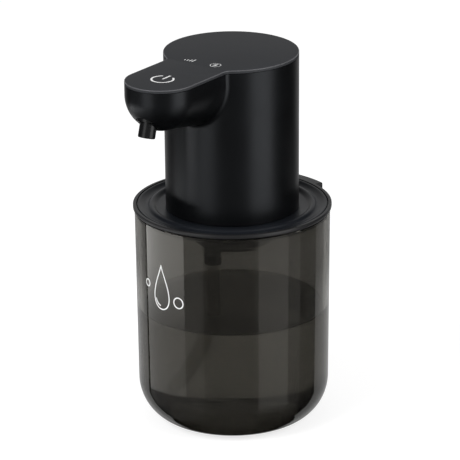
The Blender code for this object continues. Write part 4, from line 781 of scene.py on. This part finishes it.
def head_angles(depth, inset, counts):
    """Ray angles that crowd where the spout and its fillet are."""
    half = SPOUT_HALF_WIDTH - inset + HEAD_FILLET / 2
    deep = SPOUT_HALF_WIDTH + SPOUT_DROP + HEAD_FILLET / 2 - inset
    share = min(max(depth - SPOUT_SIDE, 0.0) / deep, 1.0)
    width = max(half * math.sqrt(1 - share ** 2), half * LEAST_WIDTH_SHARE)
    corner = math.asin(width / (HEAD_RADIUS - inset))
    first = np.linspace(0, FILLET_START_SHARE * corner, counts[0] + 1)[:-1]
    second = np.linspace(FILLET_START_SHARE * corner, FILLET_END_SHARE * corner, counts[1] + 1)[:-1]
    third = np.linspace(FILLET_END_SHARE * corner, math.pi, counts[2] + 1)
    half_turn = np.concatenate((first, second, third))
    return np.concatenate((half_turn, 2 * math.pi - half_turn[-2:0:-1]))


def head_depths(top, bottom, inset, counts):
    """Depths that follow the round underside of the spout and its fillet."""
    round_count, drop_count, fillet_count = counts
    half = SPOUT_HALF_WIDTH - inset
    depths = [top, SPOUT_SIDE]
    for step in range(1, round_count + 1):
        depths.append(SPOUT_SIDE + half * math.sin(math.pi / 2 * step / round_count))
    for step in range(1, drop_count + 1):
        depths.append(SPOUT_SIDE + half + SPOUT_DROP * step / drop_count)
    low = depths[-1]
    for step in range(1, fillet_count + 1):
        depths.append(low + (HEAD_FILLET + inset) * (step / fillet_count) ** FILLET_CROWDING)
    depths.append(bottom)
    return depths


def head_solid(top, bottom, inset, grid):
    """A solid of the head's form between two depths, set in from its surface by inset."""
    counts, rays = grid
    rings = []
    for depth in reversed(head_depths(top, bottom, inset, counts)):
        rings.append(head_ring(depth, inset, head_angles(depth, inset, rays)))
    return stack(rings)


def tilt(bm):
    """Turns a form about Z into the nozzle's own direction, from where it meets the spout's skin."""
    forward = SPOUT_REACH - NOZZLE_FROM_TIP
    depth = SPOUT_SIDE + math.sqrt(SPOUT_HALF_WIDTH ** 2 - (forward - SPOUT_CENTRE) ** 2)
    spot = Vector((0, -forward, HEAD_TOP - depth))
    matrix = Matrix.Translation(spot) @ Matrix.Rotation(-NOZZLE_TILT, 4, "X")
    bmesh.ops.transform(bm, matrix=matrix, verts=bm.verts)
    return bm


def window_block(gap, bottom, top):
    """A block at the window's place, wider than the window by a gap on each side."""
    half = WINDOW_LENGTH / 2 + gap
    wide = WINDOW_WIDTH / 2 + gap
    return block((-half, -WINDOW_FROM_AXIS - wide, bottom), (half, -WINDOW_FROM_AXIS + wide, top))


def flap_recess():
    """The shallow recess for the port's cover, with a gap round it."""
    inner = HEAD_BACK - FLAP_THICKNESS - FLAP_GAP
    outer = HEAD_RADIUS + HEAD_OVERCUT
    bottom = FLAP_BOTTOM - FLAP_GAP
    top = FLAP_TOP + FLAP_GAP
    half_angle = math.asin((FLAP_WIDTH / 2 + FLAP_GAP) / HEAD_RADIUS)
    outline = [(inner, bottom), (outer, bottom), (outer, top), (inner, top)]
    return turned_behind(outline, half_angle, steps=24)


def make_shell(looks):
    """The hollow head shell with its spout, and the openings for nozzle, window and charging port."""
    shell = mesh_object("head_shell_fine", head_solid(SHELL_TOP_DEPTH, HEAD_HEIGHT, 0.0, SHELL_GRID))
    carve(shell, head_solid(-HEAD_OVERCUT, HEAD_HEIGHT + HEAD_OVERCUT, HEAD_WALL, CAVITY_GRID))
    carve(shell, tilt(drum(NOZZLE_RADIUS + FIT, -NOZZLE_LENGTH, HEAD_WALL + HEAD_OVERCUT, steps=48)))
    carve(shell, tilt(drum(NOZZLE_FLANGE_RADIUS + FIT, HEAD_WALL,
                           HEAD_WALL + NOZZLE_FLANGE + HEAD_OVERCUT, steps=32)))
    carve(shell, window_block(FIT, HEAD_BOTTOM, HEAD_TOP - SPOUT_SIDE))
    carve(shell, flap_recess())
    carve(shell, block((-PORT_WIDTH / 2, 0, PORT_CENTRE - PORT_TALL / 2),
                       (PORT_WIDTH / 2, HEAD_RADIUS, PORT_CENTRE + PORT_TALL / 2)))
    dress(shell, looks["shell_plastic"], "head", "shell_plastic", "head_shell")


def make_panel(looks):
    """The flat top panel with its bevelled edge, whose bevel is coloured lighter as a painted highlight.
    """
    rings = []
    for depth, inset in ((PANEL_THICKNESS, 0.0), (PANEL_BEVEL, 0.0), (PANEL_BEVEL / 4, PANEL_BEVEL / 4),
                         (SKIN, PANEL_BEVEL)):
        ring = head_ring(0.0, inset, head_angles(0.0, inset, PANEL_RAYS))
        rings.append([(x, y, HEAD_TOP - depth) for x, y, _ in ring])
    panel = mesh_object("top_panel_fine", stack(rings), sharp=60)
    dress(panel, looks["panel_plastic"], "head", "panel_plastic", "top_panel")
    # The bevel faces get a lighter colour as a painted highlight.
    paint_faces(panel, looks["panel_edge_painted_highlight"], *PAINTED_HIGHLIGHT_FACING)


def make_nozzle(looks):
    """The tilted nozzle with its flange and barrel."""
    seat = HEAD_WALL + FIT + NOZZLE_FLANGE
    top = seat + NOZZLE_BARREL
    edge = NOZZLE_ROUND
    pocket = VALVE_BOTTOM + VALVE_LENGTH + FIT
    outline = [(NOZZLE_BORE, top - NOZZLE_CAP), (NOZZLE_BORE, pocket), (NOZZLE_MOUTH, pocket),
               (NOZZLE_MOUTH, -NOZZLE_LENGTH + edge / 2), (NOZZLE_MOUTH + edge / 2, -NOZZLE_LENGTH)]
    outline += arc((NOZZLE_RADIUS - edge, -NOZZLE_LENGTH + edge), edge, -90, 0, count=6)
    outline += [(NOZZLE_RADIUS, HEAD_WALL + FIT), (NOZZLE_FLANGE_RADIUS, HEAD_WALL + FIT),
                (NOZZLE_FLANGE_RADIUS, seat), (NOZZLE_BARREL_RADIUS, seat), (NOZZLE_BARREL_RADIUS, top)]
    nozzle = mesh_object("nozzle_fine", tilt(turned(outline, steps=64, closed=False)))
    dress(nozzle, looks["nozzle_plastic"], "head", "nozzle_plastic", "nozzle")


def make_valve(looks):
    """The slit valve in the nozzle's mouth, with a low dome."""
    outline = [(VALVE_SLIT, VALVE_BOTTOM)]
    for angle in (math.radians(turn) for turn in range(15, 91, 15)):
        rise = VALVE_RADIUS * VALVE_DOME_SHARE * (1 - math.cos(angle))
        outline.append((VALVE_RADIUS * math.sin(angle), VALVE_BOTTOM + rise))
    outline += [(VALVE_RADIUS, VALVE_BOTTOM + VALVE_LENGTH), (VALVE_SLIT, VALVE_BOTTOM + VALVE_LENGTH)]
    valve = mesh_object("outlet_valve_fine", tilt(turned(outline, steps=48)))
    dress(valve, looks["black_rubber"], "head", "black_rubber", "outlet_valve")


def make_cover(looks):
    """The rubber cover over the charging port: a curved plate, its hinge barrel and its plug."""
    hinge = FLAP_BOTTOM + HINGE_RADIUS
    bottom = hinge + HINGE_RADIUS - HINGE_LAP
    inside = HEAD_BACK - FLAP_THICKNESS
    outline = [(inside, bottom), (HEAD_BACK, bottom), (HEAD_BACK, FLAP_TOP), (inside, FLAP_TOP)]
    half_angle = math.asin(FLAP_WIDTH / 2 / HEAD_RADIUS)
    plate = turned_behind(rounded(outline, FLAP_ROUND), half_angle, steps=32)
    cover = mesh_object("port_cover_fine", plate)
    barrel = drum(HINGE_RADIUS, -HINGE_WIDTH / 2, HINGE_WIDTH / 2, steps=24)
    middle = HEAD_BACK - FLAP_THICKNESS / 2
    matrix = Matrix.Translation((0, middle, hinge)) @ Matrix.Rotation(math.pi / 2, 4, "Y")
    bmesh.ops.transform(barrel, matrix=matrix, verts=barrel.verts)
    carve(cover, barrel, "UNION")
    half = PORT_WIDTH / 2 - FIT
    tall = PORT_TALL / 2 - FIT
    plug = block((-half, inside - FLAP_PLUG, PORT_CENTRE - tall), (half, middle, PORT_CENTRE + tall))
    carve(cover, plug, "UNION")
    dress(cover, looks["cover_rubber"], "port_cover", "cover_rubber", "port_cover")


def make_window(looks):
    """The dark gloss window under the spout."""
    skin = head_solid(SPOUT_SIDE / 2, HEAD_HEIGHT, WINDOW_RECESS, WINDOW_GRID)
    window = mesh_object("sensor_window_fine", skin, sharp=30)
    carve(window, head_solid(-FIT, HEAD_HEIGHT + FIT, WINDOW_RECESS + WINDOW_THICKNESS, WINDOW_GRID))
    bound = window_block(0.0, HEAD_TOP - 2 * SPOUT_HALF_WIDTH - SPOUT_SIDE, HEAD_TOP - SPOUT_HALF_WIDTH)
    carve(window, bound, "INTERSECT")
    dress(window, looks["dark_window"], "head", "dark_window", "sensor_window")


def make_pump(looks):
    """The pump cup with its inlet stub, gear pockets and ducts."""
    under = VALLEY_TOP + FIT
    outline = [(PUMP_RADIUS - PUMP_ROUND, PUMP_BOTTOM)]
    outline += arc((PUMP_RADIUS - PUMP_ROUND, PUMP_BOTTOM + PUMP_ROUND), PUMP_ROUND, -90, 0, 12)[1:]
    outline += [(PUMP_RADIUS, under), (pump_high.x, under), (pump_high.x, pump_high.z)]
    housing = mesh_object("pump_housing_fine", turned(outline, steps=120, closed=False))
    inlet = (0, -INLET_FROM_AXIS)
    stub = drum(INLET_RADIUS, pump_low.z, PUMP_BOTTOM + PUMP_ROUND, steps=48, centre=inlet)
    carve(housing, stub, "UNION")
    floor = gear_low.z - POCKET_GAP
    top = pump_high.z + PUMP_OVERCUT
    for x, seat in ((-GEAR_OFFSET, PIN_SEAT), (GEAR_OFFSET, SHAFT_SEAT)):
        carve(housing, drum(POCKET_RADIUS, floor, top, steps=72, centre=(x, 0)))
        carve(housing, drum(seat, floor - SEAT_DEPTH, top, steps=32, centre=(x, 0)))
    carve(housing, drum(DUCT_RADIUS, PUMP_BOTTOM, pump_high.z - DUCT_DEPTH, steps=32, centre=inlet))
    carve(housing, block((-DUCT_RADIUS, -INLET_FROM_AXIS, pump_high.z - 2 * DUCT_DEPTH),
                         (DUCT_RADIUS, -POCKET_RADIUS / 2, top)))
    socket_bottom = pump_low.z - PUMP_OVERCUT
    carve(housing, drum(TUBE_RADIUS + TUBE_FIT, socket_bottom, PUMP_BOTTOM + FIT, steps=40, centre=inlet))
    dress(housing, looks["inner_plastic"], "head", "inner_plastic", "pump_housing")


def smooth_path(corners, count):
    """Points on one smooth curve through the corners, count of them to each span."""
    spots = [Vector(corner) for corner in corners]
    path = []
    for index in range(len(spots) - 1):
        start, end = spots[index], spots[index + 1]
        before = spots[max(index - 1, 0)]
        after = spots[min(index + 2, len(spots) - 1)]
        reach = (end - start).length
        lead = (end - before).normalized() * reach
        tail = (after - start).normalized() * reach
        for step in range(count):
            t = step / count
            path.append(start * (2 * t ** 3 - 3 * t ** 2 + 1) + lead * (t ** 3 - 2 * t ** 2 + t)
                        + end * (3 * t ** 2 - 2 * t ** 3) + tail * (t ** 3 - t ** 2))
    path.append(spots[-1])
    return path


def swept(path, outer, inner, steps):
    """A tube with an open bore along a path."""
    side = Vector((1, 0, 0))
    bm = bmesh.new()
    rows = []
    for index, spot in enumerate(path):
        ahead = (path[min(index + 1, len(path) - 1)] - path[max(index - 1, 0)]).normalized()
        side = (side - ahead * side.dot(ahead)).normalized()
        other = ahead.cross(side)
        for radius in (outer, inner):
            rows.append([bm.verts.new(spot + (side * u + other * v) * radius)
                         for u, v in circle((0, 0), 1.0, steps)])
    chain = rows[0::2] + rows[1::2][::-1]
    add_walls(bm, chain + chain[:1])
    return bm


def make_tube(looks):
    """The dip tube, which bends into the soap."""
    corners = [(0, -INLET_FROM_AXIS, PUMP_BOTTOM)]
    for x, y, z in TUBE_SHARES:
        corners.append((x * TUBE_RADIUS, -INLET_FROM_AXIS + y * TUBE_RADIUS, PUMP_BOTTOM * z))
    tube = mesh_object("dip_tube_fine", swept(smooth_path(corners, 8), TUBE_RADIUS, TUBE_BORE, steps=28))
    dress(tube, looks["smoky_tube"], "head", "smoky_tube", "dip_tube")


def flat_line(points, width, closed=False):
    """A flat ribbon of quads along a plane line of (u, v) points."""
    spots = [Vector(spot) for spot in points]
    count = len(spots)
    edges = []
    for index, spot in enumerate(spots):
        before = spots[index - 1] if closed or index else spot
        after = spots[(index + 1) % count] if closed or index < count - 1 else spot
        ahead = (after - before).normalized()
        side = Vector((-ahead.y, ahead.x)) * width / 2
        edges.append((spot + side, spot - side))
    pairs = list(zip(edges, edges[1:])) + ([(edges[-1], edges[0])] if closed else [])
    return [(a[0], a[1], b[1], b[0]) for a, b in pairs]


def printed(name, faces, place, looks, body):
    """A thin print: plane faces put on a surface by the function place, with the ink's thickness."""
    bm = bmesh.new()
    for face in faces:
        bm.faces.new([bm.verts.new(place(u, v)) for u, v in face])
    bmesh.ops.remove_doubles(bm, verts=bm.verts, dist=PRINT_LIFT / 10)
    item = mesh_object(name, bm)
    ink = item.modifiers.new("ink", "SOLIDIFY")
    ink.thickness = PRINT_LIFT
    ink.offset = 0.0
    apply_modifiers(item)
    dress(item, looks["print"], body, None)


def power_faces():
    """An open ring with a stem."""
    middle = -POWER_FROM_AXIS
    stem = [(0, middle + POWER_RADIUS * share) for share in POWER_STEM]
    ring = arc((0, middle), POWER_RADIUS, 90 + POWER_GAP_DEGREES, 450 - POWER_GAP_DEGREES, count=60)
    return flat_line(ring, POWER_LINE) + flat_line(stem, POWER_LINE)


def level_faces():
    """Bars of rising height."""
    faces = []
    low = -SYMBOLS_FROM_AXIS - (LEVEL_SHORT + (LEVEL_COUNT - 1) * LEVEL_STEP) / 2
    for index in range(LEVEL_COUNT):
        x = -LEVEL_SIDE + (index - (LEVEL_COUNT - 1) / 2) * LEVEL_PITCH
        faces += flat_line([(x, low), (x, low + (LEVEL_SHORT + index * LEVEL_STEP))], LEVEL_LINE)
    return faces


def charge_faces():
    """A bolt in a ring."""
    x, y = CHARGE_SIDE, -SYMBOLS_FROM_AXIS
    bolt = tuple((x + u * CHARGE_RADIUS, y + v * CHARGE_RADIUS) for u, v in CHARGE_BOLT)
    return flat_line(circle((x, y), CHARGE_RADIUS), CHARGE_LINE, closed=True) + [bolt]


def make_symbols(looks):
    """The touch symbols on the top panel."""
    def on_top(u, v):
        return (u, v, HEAD_TOP - SKIN + PRINT_LIFT)

    printed("power_symbol", power_faces(), on_top, looks, "head")
    printed("level_symbol", level_faces(), on_top, looks, "head")
    printed("charge_symbol", charge_faces(), on_top, looks, "head")


def make_mark(looks):
    """A plain drop with a glint and two bubbles, printed as lines on the bottle."""
    lean = BOTTLE_DRAFT / (BOTTLE_HEIGHT - CORNER_HEIGHT)

    def on_bottle(u, v):
        z = MARK_HEIGHT + v
        radius = BOTTLE_RADIUS - (BOTTLE_HEIGHT - z) * lean + PRINT_LIFT
        angle = -math.pi / 2 - MARK_TURN + u / radius
        return (radius * math.cos(angle), radius * math.sin(angle), z)

    size = MARK_SIZE
    drop = []
    for step in range(DROP_STEPS):
        turn = 2 * math.pi * step / DROP_STEPS
        narrow = math.sin(turn / 2) ** DROP_TAPER
        drop.append((-DROP_WIDTH * size * math.sin(turn) * narrow,
                     size * (DROP_CENTRE + DROP_RISE * math.cos(turn))))
    faces = flat_line(drop, MARK_LINE, closed=True)
    for (u, v), radius in BUBBLES:
        faces += flat_line(circle((u * size, v * size), radius * size), MARK_LINE, closed=True)
    glint = arc((0, GLINT_HEIGHT * size), GLINT_RADIUS * size, *GLINT_DEGREES, count=14)
    faces += flat_line(glint, MARK_LINE)
    printed("bottle_mark", faces, on_bottle, looks, "bottle")


def camera_axes():
    """The camera's right, up and back directions."""
    a = CAMERA_AZIMUTH
    e = CAMERA_ELEVATION
    back = Vector((math.sin(a) * math.cos(e), -math.cos(a) * math.cos(e), math.sin(e)))
    right = Vector((math.cos(a), math.sin(a), 0))
    return right, back.cross(right), back


def make_camera():
    """The camera at the photograph's place."""
    right, up, back = camera_axes()
    data = bpy.data.cameras.new("camera")
    data.lens = CAMERA_LENS
    data.sensor_width = CAMERA_SENSOR
    data.clip_start = CAMERA_NEAR
    data.clip_end = CAMERA_FAR
    camera = add_object("camera", data)
    target = Vector((0, 0, CAMERA_AIM_HEIGHT)) + right * CAMERA_AIM_SIDE
    place = Matrix.Translation(target + back * CAMERA_DISTANCE)
    turn = Matrix((right, up, back)).transposed().to_4x4()
    camera.matrix_world = place @ turn @ Matrix.Rotation(CAMERA_ROLL, 4, "Z")
    bpy.context.scene.camera = camera


def empty_tree(owner):
    """The node tree of a material or world, without its first nodes."""
    owner.use_nodes = True
    owner.node_tree.nodes.clear()
    return owner.node_tree


def room_gloss(tree):
    """What reflections see of the room: a dim front, dimmer near the ground, and a pale back."""
    direction = add_node(tree, "ShaderNodeTexCoord").outputs["Generated"]
    away = -camera_axes()[2]
    away.z = 0
    facing = add_node(tree, "ShaderNodeVectorMath", operation="DOT_PRODUCT")
    facing.inputs[1].default_value = away.normalized()
    tree.links.new(direction, facing.inputs[0])
    parts = add_node(tree, "ShaderNodeSeparateXYZ")
    tree.links.new(direction, parts.inputs[0])
    front = ramp(tree, facing.outputs["Value"], FRONT_FACING, FRONT_GLOSS, SIDE_GLOSS)
    rear = ramp(tree, facing.outputs["Value"], BACK_FACING, 0.0, BACK_GLOSS)
    upper = ramp(tree, parts.outputs["Z"], UPPER_RISE, 1.0, UPPER_BACK_SHARE)
    ground = ramp(tree, parts.outputs["Z"], GROUND_RISE, GROUND_SHARE, 1.0)
    return math_node(tree, "MULTIPLY_ADD", rear, upper, math_node(tree, "MULTIPLY", front, ground))


def make_world():
    """White to the eye and through clear plastic, and dim with a pale back in reflections."""
    world = bpy.data.worlds.new("studio")
    bpy.context.scene.world = world
    tree = empty_tree(world)
    rays = add_node(tree, "ShaderNodeLightPath").outputs
    through = math_node(tree, "MULTIPLY", rays["Is Transmission Ray"], THROUGH_LEVEL)
    seen = math_node(tree, "MAXIMUM", rays["Is Camera Ray"], through)
    lit = add_node(tree, "ShaderNodeMix", data_type="FLOAT")
    lit.inputs["A"].default_value = WORLD_LEVEL
    tree.links.new(rays["Is Glossy Ray"], lit.inputs["Factor"])
    tree.links.new(room_gloss(tree), lit.inputs["B"])
    back = add_node(tree, "ShaderNodeBackground")
    back.inputs["Color"].default_value = (1, 1, 1, 1)
    tree.links.new(math_node(tree, "MAXIMUM", seen, lit.outputs["Result"]), back.inputs["Strength"])
    output = add_node(tree, "ShaderNodeOutputWorld")
    tree.links.new(back.outputs[0], output.inputs["Surface"])


def matt(tree, grey):
    """A plain diffuse grey."""
    node = add_node(tree, "ShaderNodeBsdfDiffuse")
    node.inputs["Color"].default_value = (grey, grey, grey, 1)
    return node.outputs[0]


def make_floor():
    """A pale floor that keeps the shadow and looks white to the eye."""
    half = FLOOR_SIZE / 2
    floor = mesh_object("floor", block((-half, -half, -FLOOR_THICKNESS), (half, half, 0)))
    floor.visible_glossy = False
    material = bpy.data.materials.new("floor")
    tree = empty_tree(material)
    glow = add_node(tree, "ShaderNodeEmission")
    glow.inputs["Strength"].default_value = FLOOR_SHOWN_GLOW
    lit = add_node(tree, "ShaderNodeAddShader")
    tree.links.new(matt(tree, FLOOR_SHOWN_GREY), lit.inputs[0])
    tree.links.new(glow.outputs[0], lit.inputs[1])
    mix = add_node(tree, "ShaderNodeMixShader")
    tree.links.new(add_node(tree, "ShaderNodeLightPath").outputs["Is Camera Ray"], mix.inputs["Fac"])
    tree.links.new(matt(tree, FLOOR_GREY), mix.inputs[1])
    tree.links.new(lit.outputs[0], mix.inputs[2])
    output = add_node(tree, "ShaderNodeOutputMaterial")
    tree.links.new(mix.outputs[0], output.inputs["Surface"])
    floor.data.materials.append(material)


def round_room(turn, distance):
    """A place at a turn in degrees from the camera's side of the room."""
    angle = CAMERA_AZIMUTH + math.radians(turn)
    return math.sin(angle) * distance, -math.cos(angle) * distance


def make_lamp(name, turn, height, power):
    """A soft lamp that faces the object."""
    data = bpy.data.lights.new(name, "AREA")
    data.size = LAMP_SIZE
    data.energy = power
    lamp = add_object(name, data)
    spot = Vector((*round_room(turn, LAMP_DISTANCE), height))
    aim = Vector((0, 0, LAMP_AIM_HEIGHT)) - spot
    lamp.matrix_world = Matrix.Translation(spot) @ aim.to_track_quat("-Z", "Y").to_matrix().to_4x4()
    lamp.visible_camera = False
    lamp.visible_transmission = False
    lamp.visible_glossy = False


def glow_material(name, fade, levels):
    """A material that glows at one level below a fade in height and at another above it."""
    material = bpy.data.materials.new(name)
    tree = empty_tree(material)
    parts = add_node(tree, "ShaderNodeSeparateXYZ")
    tree.links.new(add_node(tree, "ShaderNodeNewGeometry").outputs["Position"], parts.inputs[0])
    glow = add_node(tree, "ShaderNodeEmission")
    tree.links.new(ramp(tree, parts.outputs["Z"], fade, *levels), glow.inputs["Strength"])
    output = add_node(tree, "ShaderNodeOutputMaterial")
    tree.links.new(glow.outputs[0], output.inputs["Surface"])
    return material


def make_card(name, turns, heights, distance, fade, levels):
    """A curved card that only reflections see, from one turn to another round the object."""
    bm = bmesh.new()
    columns = []
    for step in range(CARD_STEPS + 1):
        spot = round_room(turns[0] + (turns[1] - turns[0]) * step / CARD_STEPS, distance)
        columns.append([bm.verts.new((*spot, height)) for height in heights])
    for left, right in zip(columns, columns[1:]):
        bm.faces.new((left[0], right[0], right[1], left[1]))
    card = mesh_object(name, bm)
    card.visible_camera = False
    card.visible_diffuse = False
    card.visible_transmission = False
    card.visible_shadow = False
    card.data.materials.append(glow_material(name, fade, levels))


def main():
    """Dresses the frame, makes each piece and sets up the studio."""
    looks = {name: surface(name, **look) for name, look in LOOKS.items()}
    dress_frame(looks)
    for make in (make_bottle, make_soap, make_collar, make_lid, make_shell, make_panel, make_nozzle,
                 make_valve, make_cover, make_window, make_pump, make_tube, make_symbols, make_mark):
        make(looks)
    make_camera()
    make_world()
    make_floor()
    for row in LAMPS:
        make_lamp(*row)
    for row in CARDS:
        make_card(*row)
    bpy.context.scene.view_settings.view_transform = "Standard"


main()
